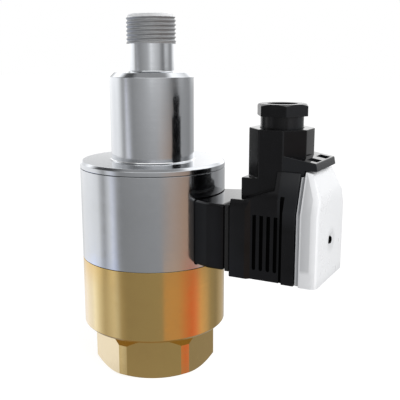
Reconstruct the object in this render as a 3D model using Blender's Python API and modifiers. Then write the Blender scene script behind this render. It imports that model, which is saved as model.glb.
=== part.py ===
"""Release solenoid valve with a plug-in cable connector.

The valve stands upright. Its parts hang on an empty on the valve's axis, with +Z up and +X towards the
connector. The world origin is the middle of the whole object's footprint. Heights are measured from the
bottom of the hexagon and reaches from the valve's axis.
"""

import math

import bmesh
import bpy
from mathutils import Matrix, Vector

MM = 0.001

# Fits
SEAT_GAP = 0.3 * MM
RUNNING_GAP = 0.4 * MM
OVERRUN = 3.0 * MM

# Valve barrel
BARREL_DIAMETER = 50.0 * MM
BARREL_CHAMFER = 0.9 * MM
HEX_ACROSS_FLATS = 38.2 * MM
HEX_CORNER_DIAMETER = 42.4 * MM
HEX_HEIGHT = 13.8 * MM
HEX_TOP_ANGLE = math.radians(45.0)
HEX_BOTTOM_ANGLE = math.radians(30.0)
COLLAR_DIAMETER = 35.2 * MM
COLLAR_HEIGHT = 1.0 * MM
BRASS_HEIGHT = 24.2 * MM
HOUSING_HEIGHT = 31.0 * MM
HOUSING_WALL = 2.5 * MM
LID_THICKNESS = 2.2 * MM
LID_EDGE = 0.7 * MM
BOSS_DIAMETER = 28.5 * MM
BOSS_HEIGHT = 29.4 * MM
BOSS_CHAMFER = 1.5 * MM
BOSS_FILLET = 0.4 * MM
NECK_DIAMETER = 15.2 * MM
NECK_HEIGHT = 9.4 * MM
STUB_DIAMETER = 16.6 * MM
STUB_HEIGHT = 9.6 * MM
STUB_CHAMFER = 1.1 * MM

# Flow path
PORT_BORE = 18.6 * MM
PORT_CHAMFER = 1.2 * MM
PORT_DEPTH = 13.5 * MM
ORIFICE_DIAMETER = 6.0 * MM
NOZZLE_DIAMETER = 10.0 * MM
NOZZLE_HEIGHT = 2.0 * MM
CAP_BORE = 9.0 * MM
SPIGOT_DIAMETER = 29.4 * MM
SPIGOT_LENGTH = 11.2 * MM
CHAMBER_DIAMETER = 24.0 * MM
CHAMBER_HEIGHT = 9.1 * MM
O_RING_WIRE = 1.2 * MM

# Magnet
TUBE_DIAMETER = 16.0 * MM
TUBE_WALL = 0.5 * MM
TUBE_FLANGE_DIAMETER = 22.8 * MM
TUBE_FLANGE_THICKNESS = 1.2 * MM
TUBE_INSERTION = 7.9 * MM
FLUX_PLATE_THICKNESS = 3.1 * MM
FLUX_PLATE_RECESS = 2.0 * MM
CAP_SPIGOT_LENGTH = 1.5 * MM
STROKE = 2.0 * MM
PLUNGER_LENGTH = 24.7 * MM
PLUNGER_BORE = 5.2 * MM
CROSS_HOLE_DIAMETER = 2.4 * MM
SEAL_DIAMETER = 11.2 * MM
SEAL_THICKNESS = 2.0 * MM
SEAL_PROUD = 1.0 * MM
CORE_LENGTH = 32.4 * MM
SPRING_DIAMETER = 8.6 * MM
SPRING_WIRE = 0.8 * MM
SPRING_TURNS = 6
PLUNGER_POCKET = 4.0 * MM
CORE_POCKET = 3.7 * MM

# Coil
MOULDING_WALL = 1.6 * MM
MOULDING_END_WALL = 1.2 * MM
BOBBIN_WALL = 1.2 * MM
BOBBIN_FLANGE = 1.4 * MM
WINDING_MARGIN = 1.0 * MM

# Terminal base
CONNECTOR_AXIS_RISE = 11.0 * MM
BASE_ROOT_REACH = 17.0 * MM
BASE_STRAIGHT_REACH = 28.0 * MM
BASE_FACE_REACH = 33.8 * MM
BASE_HALF_WIDTH = 13.3 * MM
BASE_FLARE = 0.375
BASE_DROP = 10.9 * MM
BASE_RISE = 10.6 * MM
BASE_EDGE = 1.0 * MM
PIN_WIDTH = 6.3 * MM
PIN_THICKNESS = 0.8 * MM
PIN_EMBEDMENT = 2.5 * MM
PIN_PROJECTION = 8.7 * MM
PIN_SPACING = 18.0 * MM
EARTH_PIN_DROP = 8.4 * MM
INSERT_DIAMETER = 4.6 * MM
INSERT_LENGTH = 7.5 * MM

# Connector housing; rises and drops are from the connector's own axis
GASKET_THICKNESS = 1.4 * MM
CONNECTOR_DEPTH = 21.6 * MM
CONNECTOR_HALF_WIDTH = 13.9 * MM
CONNECTOR_DROP = 12.3 * MM
CONNECTOR_EDGE = 0.4 * MM
SHOULDER_RISE = 9.85 * MM
SHOULDER_TOP_RISE = 21.9 * MM
SHOULDER_TOP_HALF_WIDTH = 9.65 * MM
FLANGE_RISE = 12.7 * MM
FLANGE_DEPTH = 4.5 * MM
LEDGE_DEPTH = 9.3 * MM
LEDGE_CLIMB = 3.6 * MM
LEDGE_GROOVE_RISE = 0.25 * MM
LEDGE_GROOVE_HEIGHT = 0.5 * MM
LEDGE_GROOVE_DEPTH = 0.6 * MM
CAVITY_HALF_WIDTH = 11.5 * MM
CAVITY_DROP = 10.7 * MM
CAVITY_RISE = 10.9 * MM
TOWER_SETBACK = 11.55 * MM
TOWER_WIDTH = 18.9 * MM
TOWER_ROOT_RISE = 11.9 * MM
TOWER_SQUARE_RISE = 19.1 * MM
TOWER_RISE = 34.1 * MM
PASSAGE_DIAMETER = 10.0 * MM
TAB_HALF_WIDTH = 9.2 * MM
TAB_ROOT_RISE = 18.0 * MM
TAB_ROOT_DEPTH = 6.4 * MM
TAB_HEEL_DEPTH = 0.6 * MM
TAB_HEEL_RISE = 20.9 * MM
TAB_STEP = 0.8 * MM
TAB_UNDERSIDE_RISE = 22.4 * MM
TAB_OVERHANG = 4.8 * MM
TAB_TIP_RISE = 24.85 * MM
TAB_TIP_LEAN = 0.45 * MM
TAB_BACK_RISE = 26.6 * MM
TAB_EDGE = 0.25 * MM
WINDOW_OFFSET = 0.55 * MM
WINDOW_LENGTH = 3.3 * MM
WINDOW_WIDTH = 4.8 * MM
WINDOW_SPACING = 8.7 * MM
WINDOW_FLOOR = 1.0 * MM
PANEL_DEPTH = 1.25 * MM
PANEL_START = 5.4 * MM
PANEL_RAMP = 1.4 * MM
PANEL_END = 17.6 * MM
PANEL_GROOVE_WIDTH = 1.3 * MM
PANEL_GROOVE_DEPTH = 0.45 * MM
SLOT_COUNT = 4
SLOT_PITCH = 2.32 * MM
SLOT_WIDTH = 1.2 * MM
SLOT_DEPTH = 0.7 * MM
SLOT_DROP = 9.3 * MM
SLOT_RISE = 8.1 * MM
SLOT_RAMP = 0.9 * MM

# Connector insert
BLOCK_DEPTH = 14.2 * MM
CONTACT_INSET = 0.5 * MM
CONTACT_WIDTH = 7.0 * MM
CONTACT_LEAF = 0.5 * MM
LUG_WIDTH = 6.8 * MM
LUG_DEPTH = 3.4 * MM
LUG_MARGIN = 1.6 * MM
TERMINAL_OFFSET = 3.3 * MM
TERMINAL_SCREW_DIAMETER = 2.6 * MM
TERMINAL_HEAD_DIAMETER = 4.0 * MM
TERMINAL_HEAD_HEIGHT = 1.6 * MM
SCREW_DIAMETER = 3.0 * MM
SCREW_HEAD_DIAMETER = 5.5 * MM
SCREW_HEAD_HEIGHT = 2.2 * MM
SCREW_TIP_GAP = 1.0 * MM

# Clear cover
COVER_DEPTH = 6.7 * MM
COVER_LIP_DEPTH = 1.2 * MM
COVER_LIP_STEP = 0.35 * MM
COVER_WALL = 1.5 * MM
COVER_SLOPE_RISE = 14.3 * MM
COVER_SLOPE = 0.38
COVER_EDGE = 2.0 * MM
DRIVER_HOLE = 2.5 * MM
DISH_DIAMETER = 5.6 * MM
DISH_DEPTH = 0.6 * MM

# Cable gland
GLAND_BORE = 14.0 * MM
GLAND_BORE_DEPTH = 14.8 * MM
GLAND_NECK_DIAMETER = 13.4 * MM
GLAND_NECK_HEIGHT = 3.7 * MM
GLAND_ACROSS_FLATS = 14.5 * MM
GLAND_CORNER_DIAMETER = 16.7 * MM
GLAND_HEX_HEIGHT = 3.7 * MM
GLAND_CABLE_HOLE = 9.4 * MM
GLAND_SEAL_HEIGHT = 5.7 * MM
GLAND_SEAL_BORE = 7.0 * MM
GLAND_WASHER_THICKNESS = 0.8 * MM

# Facets round a turned surface
COARSE = 20
MEDIUM = 32
FINE = 48

# Heights that follow from the stack
COLLAR_TOP = HEX_HEIGHT + COLLAR_HEIGHT
BRASS_BOTTOM = COLLAR_TOP + SEAT_GAP
BRASS_TOP = BRASS_BOTTOM + BRASS_HEIGHT
HOUSING_BOTTOM = BRASS_TOP + SEAT_GAP
HOUSING_TOP = HOUSING_BOTTOM + HOUSING_HEIGHT
LID_BOTTOM = HOUSING_TOP + SEAT_GAP
LID_TOP = LID_BOTTOM + LID_THICKNESS
BOSS_TOP = LID_TOP + BOSS_HEIGHT
NECK_TOP = BOSS_TOP + NECK_HEIGHT
STUB_TOP = NECK_TOP + STUB_HEIGHT
RECESS_FLOOR = BRASS_TOP - FLUX_PLATE_RECESS
FLUX_PLATE_BOTTOM = RECESS_FLOOR + SEAT_GAP
FLUX_PLATE_TOP = FLUX_PLATE_BOTTOM + FLUX_PLATE_THICKNESS
MOULDING_BOTTOM = FLUX_PLATE_TOP + SEAT_GAP
CAP_SPIGOT_BOTTOM = LID_BOTTOM - CAP_SPIGOT_LENGTH
MOULDING_TOP = CAP_SPIGOT_BOTTOM - SEAT_GAP
SPIGOT_TOP = COLLAR_TOP + SPIGOT_LENGTH
CHAMBER_TOP = SPIGOT_TOP + CHAMBER_HEIGHT
NOZZLE_TOP = SPIGOT_TOP + NOZZLE_HEIGHT
SEAL_BOTTOM = NOZZLE_TOP + SEAT_GAP
SEAL_TOP = SEAL_BOTTOM + SEAL_THICKNESS
PLUNGER_BOTTOM = SEAL_BOTTOM + SEAL_PROUD
PLUNGER_TOP = PLUNGER_BOTTOM + PLUNGER_LENGTH
CORE_BOTTOM = PLUNGER_TOP + STROKE + SEAT_GAP
CORE_TOP = CORE_BOTTOM + CORE_LENGTH
TUBE_TOP = CAP_SPIGOT_BOTTOM + TUBE_INSERTION
AXIS_HEIGHT = MOULDING_BOTTOM + CONNECTOR_AXIS_RISE
BASE_BOTTOM = AXIS_HEIGHT - BASE_DROP
BASE_TOP = AXIS_HEIGHT + BASE_RISE
TOWER_TOP = AXIS_HEIGHT + TOWER_RISE
GLAND_FLOOR = TOWER_TOP - GLAND_BORE_DEPTH

# Radii that follow from the fits
BARREL_RADIUS = BARREL_DIAMETER / 2
HOUSING_BORE_RADIUS = BARREL_RADIUS - HOUSING_WALL
INSERT_RADIUS_IN_HOUSING = HOUSING_BORE_RADIUS - SEAT_GAP
TUBE_RADIUS = TUBE_DIAMETER / 2
TUBE_BORE_RADIUS = TUBE_RADIUS - TUBE_WALL
TUBE_HOLE_RADIUS = TUBE_RADIUS + SEAT_GAP
COIL_BORE_RADIUS = TUBE_HOLE_RADIUS + SEAT_GAP
CORE_RADIUS = TUBE_BORE_RADIUS - SEAT_GAP
PLUNGER_RADIUS = TUBE_BORE_RADIUS - RUNNING_GAP
SPRING_POCKET_RADIUS = (SPRING_DIAMETER + SPRING_WIRE) / 2 + SEAT_GAP
SCREW_HOLE = SCREW_DIAMETER + 4 * SEAT_GAP

# Reaches that follow from the connector's stack
GASKET_REACH = BASE_FACE_REACH + SEAT_GAP
CONNECTOR_REACH = GASKET_REACH + GASKET_THICKNESS + SEAT_GAP
CONNECTOR_FRONT = CONNECTOR_REACH + CONNECTOR_DEPTH
COVER_REACH = CONNECTOR_FRONT + SEAT_GAP
COVER_FRONT = COVER_REACH + COVER_DEPTH
BLOCK_REACH = CONNECTOR_REACH + SEAT_GAP
BLOCK_FRONT = BLOCK_REACH + BLOCK_DEPTH
TOWER_REACH = CONNECTOR_REACH + TOWER_SETBACK
INSERT_REACH = BASE_FACE_REACH - INSERT_LENGTH - SEAT_GAP

# Where the valve's axis stands, so that the world origin is the middle of the footprint
AXIS_X = (BARREL_RADIUS - COVER_FRONT) / 2


def clear_scene():
    for item in list(bpy.data.objects):
        bpy.data.objects.remove(item, do_unlink=True)
    for item in list(bpy.data.collections):
        bpy.data.collections.remove(item)


def new_collection(name):
    collection = bpy.data.collections.new(name)
    bpy.context.scene.collection.children.link(collection)
    return collection


clear_scene()
PARTS = new_collection("release_solenoid_valve")
CUTTERS = new_collection("cutters")
AXIS = bpy.data.objects.new("valve_axis", None)
AXIS.location = (AXIS_X, 0.0, 0.0)
PARTS.objects.link(AXIS)

# Looks, as colour, roughness, metallic and transmission
STEEL = ((0.60, 0.60, 0.62), 0.25, 1.0, 0.0)
MAGNET_STEEL = ((0.50, 0.50, 0.50), 0.35, 1.0, 0.0)
BRASS = ((0.78, 0.58, 0.26), 0.25, 1.0, 0.0)
COPPER = ((0.80, 0.38, 0.22), 0.35, 1.0, 0.0)
BLACK_PLASTIC = ((0.012, 0.012, 0.013), 0.30, 0.0, 0.0)
GREY_PLASTIC = ((0.30, 0.30, 0.31), 0.45, 0.0, 0.0)
CLEAR_PLASTIC = ((0.92, 0.93, 0.94), 0.20, 0.0, 0.6)
RUBBER = ((0.02, 0.02, 0.02), 0.80, 0.0, 0.0)


def new_material(name, look):
    colour, roughness, metallic, transmission = look
    material = bpy.data.materials.new(name)
    material.use_nodes = True
    shader = material.node_tree.nodes["Principled BSDF"]
    shader.inputs["Base Color"].default_value = (*colour, 1.0)
    shader.inputs["Roughness"].default_value = roughness
    shader.inputs["Metallic"].default_value = metallic
    shader.inputs["Transmission Weight"].default_value = transmission
    material.diffuse_color = (*colour, 1.0)
    return material


def place(name, mesh, look, matrix):
    """Hangs a mesh on the valve's axis. A mesh without a look is only a tool."""
    item = bpy.data.objects.new(name, mesh)
    item.parent = AXIS
    item.matrix_local = matrix
    mesh.materials.clear()
    if look is not None:
        mesh.materials.append(new_material(name, look))
    PARTS.objects.link(item)
    return item


def shade(item, angle=30.0):
    item.data.shade_smooth()
    item.data.set_sharp_from_angle(angle=math.radians(angle))
    return item


def evaluated_mesh(item):
    bpy.context.view_layer.update()
    graph = bpy.context.evaluated_depsgraph_get()
    return bpy.data.meshes.new_from_object(item.evaluated_get(graph))


def apply_modifiers(item):
    mesh = evaluated_mesh(item)
    item.modifiers.clear()
    item.data = mesh
    return item


def combine(item, tool, operation):
    """Cuts, joins or intersects a piece with a tool, which then is kept as a hidden guide."""
    modifier = item.modifiers.new(tool.name, "BOOLEAN")
    modifier.operation = operation
    modifier.solver = "EXACT"
    modifier.object = tool
    PARTS.objects.unlink(tool)
    CUTTERS.objects.link(tool)
    tool.hide_render = True
    tool.display_type = "WIRE"
    return item


def cut(item, *tools):
    for tool in tools:
        combine(item, tool, "DIFFERENCE")
    return item


def join(item, *tools):
    for tool in tools:
        combine(item, tool, "UNION")
    return item


def round_edges(item, radius, segments=2):
    modifier = item.modifiers.new("edge", "BEVEL")
    modifier.width = radius
    modifier.segments = segments
    modifier.limit_method = "ANGLE"
    modifier.angle_limit = math.radians(40.0)
    return item


def turned(name, profile, look=None, steps=MEDIUM, matrix=Matrix.Identity(4)):
    """Revolves (radius, height) points, whose outer side runs from top to bottom."""
    mesh = bpy.data.meshes.new(name)
    outline = bmesh.new()
    points = [outline.verts.new((radius, 0.0, height)) for radius, height in profile]
    for first, second in zip(points, points[1:]):
        outline.edges.new((first, second))
    on_axis = profile[0][0] == 0.0 and profile[-1][0] == 0.0
    if not on_axis:
        outline.edges.new((points[-1], points[0]))
    outline.to_mesh(mesh)
    outline.free()
    item = place(name, mesh, look, matrix)
    screw = item.modifiers.new("turning", "SCREW")
    screw.axis = "Z"
    screw.angle = math.tau
    screw.steps = steps
    screw.render_steps = steps
    screw.use_merge_vertices = True
    screw.merge_threshold = 0.000001
    return shade(apply_modifiers(item))


def arc(centre, radius, start, end, count):
    """Points of a round stretch of an outline, between two angles in degrees."""
    points = []
    for step in range(count + 1):
        angle = math.radians(start + (end - start) * step / count)
        points.append((centre[0] + radius * math.cos(angle), centre[1] + radius * math.sin(angle)))
    return points


def ring(name, outer, inner, bottom, top, look, steps=MEDIUM, matrix=Matrix.Identity(4)):
    profile = [(outer, top), (outer, bottom), (inner, bottom), (inner, top)]
    return turned(name, profile, look, steps, matrix)


def o_ring(name, mean_radius, height):
    profile = arc((mean_radius, height), O_RING_WIRE / 2, 90.0, -210.0, 5)
    return turned(name, profile, RUBBER, MEDIUM)


def box(name, low, high, look=None):
    """A block between two opposite corners."""
    low = Vector(low)
    high = Vector(high)
    mesh = bpy.data.meshes.new(name)
    shape = bmesh.new()
    bmesh.ops.create_cube(shape, size=1.0)
    stretch = Matrix.Diagonal((*(high - low), 1.0))
    bmesh.ops.transform(shape, matrix=stretch, verts=shape.verts)
    shape.to_mesh(mesh)
    shape.free()
    return place(name, mesh, look, Matrix.Translation((low + high) / 2))


def rod(name, diameter, start, end, look=None, end_diameter=None):
    """A cylinder, or a cone if its end has another diameter, between two points."""
    start = Vector(start)
    end = Vector(end)
    mesh = bpy.data.meshes.new(name)
    shape = bmesh.new()
    bmesh.ops.create_cone(
        shape,
        cap_ends=True,
        segments=COARSE,
        radius1=diameter / 2,
        radius2=(end_diameter or diameter) / 2,
        depth=(end - start).length,
    )
    shape.to_mesh(mesh)
    shape.free()
    turn = (end - start).to_track_quat("Z", "Y").to_matrix().to_4x4()
    return shade(place(name, mesh, look, Matrix.Translation((start + end) / 2) @ turn))


# Directions of a flat outline's two axes and of its thickness, as columns
PLAN = Matrix.Identity(4)
SIDE = Matrix(((1, 0, 0), (0, 0, -1), (0, 1, 0))).to_4x4()
FACE = Matrix(((0, 0, 1), (1, 0, 0), (0, 1, 0))).to_4x4()


def prism(name, outline, start, end, directions, look=None):
    """Gives a flat outline its thickness, from start to end."""
    curve = bpy.data.curves.new(name, "CURVE")
    curve.dimensions = "2D"
    curve.fill_mode = "BOTH"
    curve.extrude = abs(end - start) / 2
    spline = curve.splines.new("POLY")
    spline.points.add(len(outline) - 1)
    for point, (first, second) in zip(spline.points, outline):
        point.co = (first, second, 0.0, 1.0)
    spline.use_cyclic_u = True
    flat = bpy.data.objects.new(name + "_outline", curve)
    PARTS.objects.link(flat)
    mesh = evaluated_mesh(flat)
    bpy.data.objects.remove(flat)
    shape = bmesh.new()
    shape.from_mesh(mesh)
    bmesh.ops.remove_doubles(shape, verts=shape.verts, dist=0.000001)
    bmesh.ops.dissolve_limit(
        shape, angle_limit=math.radians(0.5), verts=shape.verts, edges=shape.edges
    )
    bmesh.ops.recalc_face_normals(shape, faces=shape.faces)
    shape.to_mesh(mesh)
    shape.free()
    middle = directions.to_3x3() @ Vector((0.0, 0.0, (start + end) / 2))
    return place(name, mesh, look, Matrix.Translation(middle) @ directions)


def hexagon(name, across_flats, bottom, top, centre, first_corner):
    """A tool with six upright flats. Its first corner is given in degrees from +X."""
    corners = arc(centre, across_flats / math.sqrt(3.0), first_corner, first_corner + 300.0, 5)
    return prism(name, corners, bottom, top, PLAN)


def hex_profile(face, corner, bottom, top, top_angle, bottom_angle):
    """Outer profile of a turned hexagon blank, with an angle for the chamfer at each of its ends."""
    upper = top - (corner - face) * math.tan(top_angle)
    lower = bottom + (corner - face) * math.tan(bottom_angle)
    return [(face, top), (corner, upper), (corner, lower), (face, bottom)]


def build_top_cap():
    """Lid, boss, neck and stub, turned from one bar, with the seat of the fixed core inside."""
    boss = BOSS_DIAMETER / 2
    neck = NECK_DIAMETER / 2
    stub = STUB_DIAMETER / 2
    bore = CAP_BORE / 2
    core_hole = CORE_RADIUS + SEAT_GAP
    neck_root = arc((neck + BOSS_FILLET, BOSS_TOP + BOSS_FILLET), BOSS_FILLET, 180.0, 270.0, 2)
    boss_root = arc((boss + BOSS_FILLET, LID_TOP + BOSS_FILLET), BOSS_FILLET, 180.0, 270.0, 2)
    lid_edge = arc((BARREL_RADIUS - LID_EDGE, LID_TOP - LID_EDGE), LID_EDGE, 90.0, 0.0, 3)
    profile = [
        (stub - STUB_CHAMFER, STUB_TOP),
        (stub, STUB_TOP - STUB_CHAMFER),
        (stub, NECK_TOP),
        (neck, NECK_TOP),
        *neck_root,
        (boss - BOSS_CHAMFER, BOSS_TOP),
        (boss, BOSS_TOP - BOSS_CHAMFER),
        *boss_root,
        *lid_edge,
        (BARREL_RADIUS, LID_BOTTOM),
        (INSERT_RADIUS_IN_HOUSING, LID_BOTTOM),
        (INSERT_RADIUS_IN_HOUSING, CAP_SPIGOT_BOTTOM),
        (TUBE_HOLE_RADIUS, CAP_SPIGOT_BOTTOM),
        (TUBE_HOLE_RADIUS, TUBE_TOP + SEAT_GAP),
        (core_hole, TUBE_TOP + SEAT_GAP),
        (core_hole, CORE_TOP + SEAT_GAP),
        (bore, CORE_TOP + SEAT_GAP),
        (bore, STUB_TOP),
    ]
    return turned("top_cap", profile, STEEL, FINE)


def base_half_width(reach):
    """Half the width of the terminal base, which narrows towards the barrel."""
    return BASE_HALF_WIDTH - max(0.0, BASE_STRAIGHT_REACH - reach) * BASE_FLARE


def terminal_base(name, end, clearance):
    """The block that comes out through the housing's window, or the window for it."""
    reaches = [BASE_ROOT_REACH, BASE_STRAIGHT_REACH, end]
    side = [(reach, base_half_width(reach) + clearance) for reach in reaches]
    other_side = [(reach, -half_width) for reach, half_width in reversed(side)]
    bottom = BASE_BOTTOM - clearance
    top = BASE_TOP + clearance
    return round_edges(prism(name, side + other_side, bottom, top, PLAN), BASE_EDGE, 3)


def build_coil_housing():
    housing = ring(
        "coil_housing", BARREL_RADIUS, HOUSING_BORE_RADIUS, HOUSING_BOTTOM, HOUSING_TOP, STEEL, FINE
    )
    return cut(housing, terminal_base("housing_window", BASE_FACE_REACH, SEAT_GAP))


def build_brass_body():
    """Brass cylinder: fitting's thread below, valve chamber, seal groove and plate recess above."""
    thread = SPIGOT_DIAMETER / 2 + SEAT_GAP
    chamber = CHAMBER_DIAMETER / 2
    groove_inner = TUBE_HOLE_RADIUS + O_RING_WIRE / 2
    groove_outer = groove_inner + O_RING_WIRE + 2 * SEAT_GAP
    groove_top = CHAMBER_TOP + O_RING_WIRE
    profile = [
        (BARREL_RADIUS, BRASS_TOP),
        (BARREL_RADIUS, BRASS_BOTTOM + BARREL_CHAMFER),
        (BARREL_RADIUS - BARREL_CHAMFER, BRASS_BOTTOM),
        (thread, BRASS_BOTTOM),
        (thread, SPIGOT_TOP + SEAT_GAP),
        (chamber, SPIGOT_TOP + SEAT_GAP),
        (chamber, CHAMBER_TOP),
        (groove_outer, CHAMBER_TOP),
        (groove_outer, groove_top),
        (groove_inner, groove_top),
        (groove_inner, CHAMBER_TOP),
        (TUBE_HOLE_RADIUS, CHAMBER_TOP),
        (TUBE_HOLE_RADIUS, RECESS_FLOOR),
        (HOUSING_BORE_RADIUS, RECESS_FLOOR),
        (HOUSING_BORE_RADIUS, BRASS_TOP),
    ]
    turned("brass_body", profile, BRASS, FINE)
    seal_height = groove_top - SEAT_GAP - O_RING_WIRE / 2
    o_ring("tube_o_ring", (groove_inner + groove_outer) / 2, seal_height)


def build_hex_fitting():
    """Spanner hexagon with the port, its threaded spigot and the valve seat on top."""
    face = HEX_ACROSS_FLATS / 2
    corner = HEX_CORNER_DIAMETER / 2
    collar = COLLAR_DIAMETER / 2
    spigot = SPIGOT_DIAMETER / 2
    nozzle = NOZZLE_DIAMETER / 2
    port = PORT_BORE / 2
    orifice = ORIFICE_DIAMETER / 2
    groove_floor = spigot - O_RING_WIRE - SEAT_GAP
    groove_bottom = COLLAR_TOP + O_RING_WIRE
    groove_top = groove_bottom + O_RING_WIRE + 2 * SEAT_GAP
    profile = [
        (nozzle, NOZZLE_TOP),
        (nozzle, SPIGOT_TOP),
        (spigot, SPIGOT_TOP),
        (spigot, groove_top),
        (groove_floor, groove_top),
        (groove_floor, groove_bottom),
        (spigot, groove_bottom),
        (spigot, COLLAR_TOP),
        (collar, COLLAR_TOP),
        (collar, HEX_HEIGHT),
        *hex_profile(face, corner, 0.0, HEX_HEIGHT, HEX_TOP_ANGLE, HEX_BOTTOM_ANGLE),
        (port + PORT_CHAMFER, 0.0),
        (port, PORT_CHAMFER),
        (port, PORT_DEPTH),
        (orifice, PORT_DEPTH),
        (orifice, NOZZLE_TOP),
    ]
    fitting = turned("hex_fitting", profile, BRASS, FINE)
    flats = hexagon(
        "hex_flats", HEX_ACROSS_FLATS, -OVERRUN, NOZZLE_TOP + OVERRUN, (0.0, 0.0), 30.0
    )
    combine(fitting, flats, "INTERSECT")
    o_ring("fitting_o_ring", spigot - O_RING_WIRE / 2, (groove_bottom + groove_top) / 2)


def build_guide_tube():
    """Stainless tube: its flange is held in the valve chamber and its top sits in the cap."""
    flange = TUBE_FLANGE_DIAMETER / 2
    flange_top = CHAMBER_TOP - SEAT_GAP
    flange_bottom = flange_top - TUBE_FLANGE_THICKNESS
    profile = [
        (TUBE_RADIUS, TUBE_TOP),
        (TUBE_RADIUS, flange_top),
        (flange, flange_top),
        (flange, flange_bottom),
        (TUBE_BORE_RADIUS, flange_bottom),
        (TUBE_BORE_RADIUS, TUBE_TOP),
    ]
    turned("guide_tube", profile, STEEL)


def build_fixed_core():
    bore = PLUNGER_BORE / 2
    pocket_top = CORE_BOTTOM + CORE_POCKET
    groove_floor = CORE_RADIUS - O_RING_WIRE - SEAT_GAP
    groove_middle = (TUBE_TOP + CORE_TOP) / 2
    groove_top = groove_middle + O_RING_WIRE / 2 + SEAT_GAP
    groove_bottom = groove_middle - O_RING_WIRE / 2 - SEAT_GAP
    profile = [
        (CORE_RADIUS, CORE_TOP),
        (CORE_RADIUS, groove_top),
        (groove_floor, groove_top),
        (groove_floor, groove_bottom),
        (CORE_RADIUS, groove_bottom),
        (CORE_RADIUS, CORE_BOTTOM),
        (SPRING_POCKET_RADIUS, CORE_BOTTOM),
        (SPRING_POCKET_RADIUS, pocket_top),
        (bore, pocket_top),
        (bore, CORE_TOP),
    ]
    turned("fixed_core", profile, MAGNET_STEEL)
    o_ring("core_o_ring", CORE_RADIUS - O_RING_WIRE / 2, groove_middle)


def build_plunger():
    """Moving core. The fluid enters its cross holes and leaves through its bore."""
    bore = PLUNGER_BORE / 2
    recess = SEAL_DIAMETER / 2 + SEAT_GAP
    recess_top = SEAL_TOP + SEAT_GAP
    cross_height = recess_top + CROSS_HOLE_DIAMETER / 2 + SEAT_GAP
    pocket_floor = PLUNGER_TOP - PLUNGER_POCKET
    profile = [
        (0.0, cross_height),
        (bore, cross_height),
        (bore, pocket_floor),
        (SPRING_POCKET_RADIUS, pocket_floor),
        (SPRING_POCKET_RADIUS, PLUNGER_TOP),
        (PLUNGER_RADIUS, PLUNGER_TOP),
        (PLUNGER_RADIUS, PLUNGER_BOTTOM),
        (recess, PLUNGER_BOTTOM),
        (recess, recess_top),
        (0.0, recess_top),
    ]
    plunger = turned("plunger", profile, MAGNET_STEEL)
    for number, direction in enumerate((Vector((1, 0, 0)), Vector((0, 1, 0)))):
        middle = Vector((0.0, 0.0, cross_height))
        end = direction * TUBE_RADIUS
        cut(plunger, rod(f"cross_hole_{number}", CROSS_HOLE_DIAMETER, middle - end, middle + end))
    rod("plunger_seal", SEAL_DIAMETER, (0, 0, SEAL_BOTTOM), (0, 0, SEAL_TOP), RUBBER)


def build_return_spring():
    """Spring between the pockets of the plunger and the fixed core."""
    end_gap = SPRING_WIRE / 2 + SEAT_GAP
    bottom = PLUNGER_TOP - PLUNGER_POCKET + end_gap
    top = CORE_BOTTOM + CORE_POCKET - end_gap
    per_turn = 12
    count = SPRING_TURNS * per_turn + 1
    curve = bpy.data.curves.new("return_spring", "CURVE")
    curve.dimensions = "3D"
    curve.bevel_depth = SPRING_WIRE / 2
    curve.bevel_resolution = 2
    curve.use_fill_caps = True
    spline = curve.splines.new("POLY")
    spline.points.add(count - 1)
    for number, point in enumerate(spline.points):
        angle = math.tau * number / per_turn
        height = bottom + (top - bottom) * number / (count - 1)
        x = SPRING_DIAMETER / 2 * math.cos(angle)
        y = SPRING_DIAMETER / 2 * math.sin(angle)
        point.co = (x, y, height, 1.0)
    wire = bpy.data.objects.new("spring_wire", curve)
    PARTS.objects.link(wire)
    mesh = evaluated_mesh(wire)
    bpy.data.objects.remove(wire)
    shape = bmesh.new()
    shape.from_mesh(mesh)
    bmesh.ops.remove_doubles(shape, verts=shape.verts, dist=0.000001)
    shape.to_mesh(mesh)
    shape.free()
    shade(place("return_spring", mesh, STEEL, Matrix.Identity(4)), 60.0)


def build_coil():
    """Bobbin and winding, in the cavity of their moulding."""
    cavity_radius = INSERT_RADIUS_IN_HOUSING - MOULDING_WALL
    cavity_bottom = MOULDING_BOTTOM + MOULDING_END_WALL
    cavity_top = MOULDING_TOP - MOULDING_END_WALL
    flange = cavity_radius - SEAT_GAP
    tube = COIL_BORE_RADIUS + BOBBIN_WALL
    bottom = cavity_bottom + SEAT_GAP
    top = cavity_top - SEAT_GAP
    profile = [
        (flange, top),
        (flange, top - BOBBIN_FLANGE),
        (tube, top - BOBBIN_FLANGE),
        (tube, bottom + BOBBIN_FLANGE),
        (flange, bottom + BOBBIN_FLANGE),
        (flange, bottom),
        (COIL_BORE_RADIUS, bottom),
        (COIL_BORE_RADIUS, top),
    ]
    turned("bobbin", profile, GREY_PLASTIC)
    ring(
        "winding",
        flange - WINDING_MARGIN,
        tube + SEAT_GAP,
        bottom + BOBBIN_FLANGE + SEAT_GAP,
        top - BOBBIN_FLANGE - SEAT_GAP,
        COPPER,
    )
    moulding = ring(
        "coil_encapsulation",
        INSERT_RADIUS_IN_HOUSING,
        COIL_BORE_RADIUS,
        MOULDING_BOTTOM,
        MOULDING_TOP,
        BLACK_PLASTIC,
        FINE,
    )
    join(moulding, terminal_base("terminal_base", BASE_FACE_REACH, 0.0))
    cavity = turned(
        "coil_cavity",
        [
            (0.0, cavity_top),
            (cavity_radius, cavity_top),
            (cavity_radius, cavity_bottom),
            (0.0, cavity_bottom),
        ],
    )
    cut(moulding, cavity)
    for pole in POLES:
        cut(moulding, pin_box(pole, "pocket", SEAT_GAP, BASE_FACE_REACH + OVERRUN))
    start = (INSERT_REACH - SEAT_GAP, 0.0, AXIS_HEIGHT)
    end = (BASE_FACE_REACH + OVERRUN, 0.0, AXIS_HEIGHT)
    cut(moulding, rod("insert_pocket", INSERT_DIAMETER + 2 * SEAT_GAP, start, end))


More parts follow.
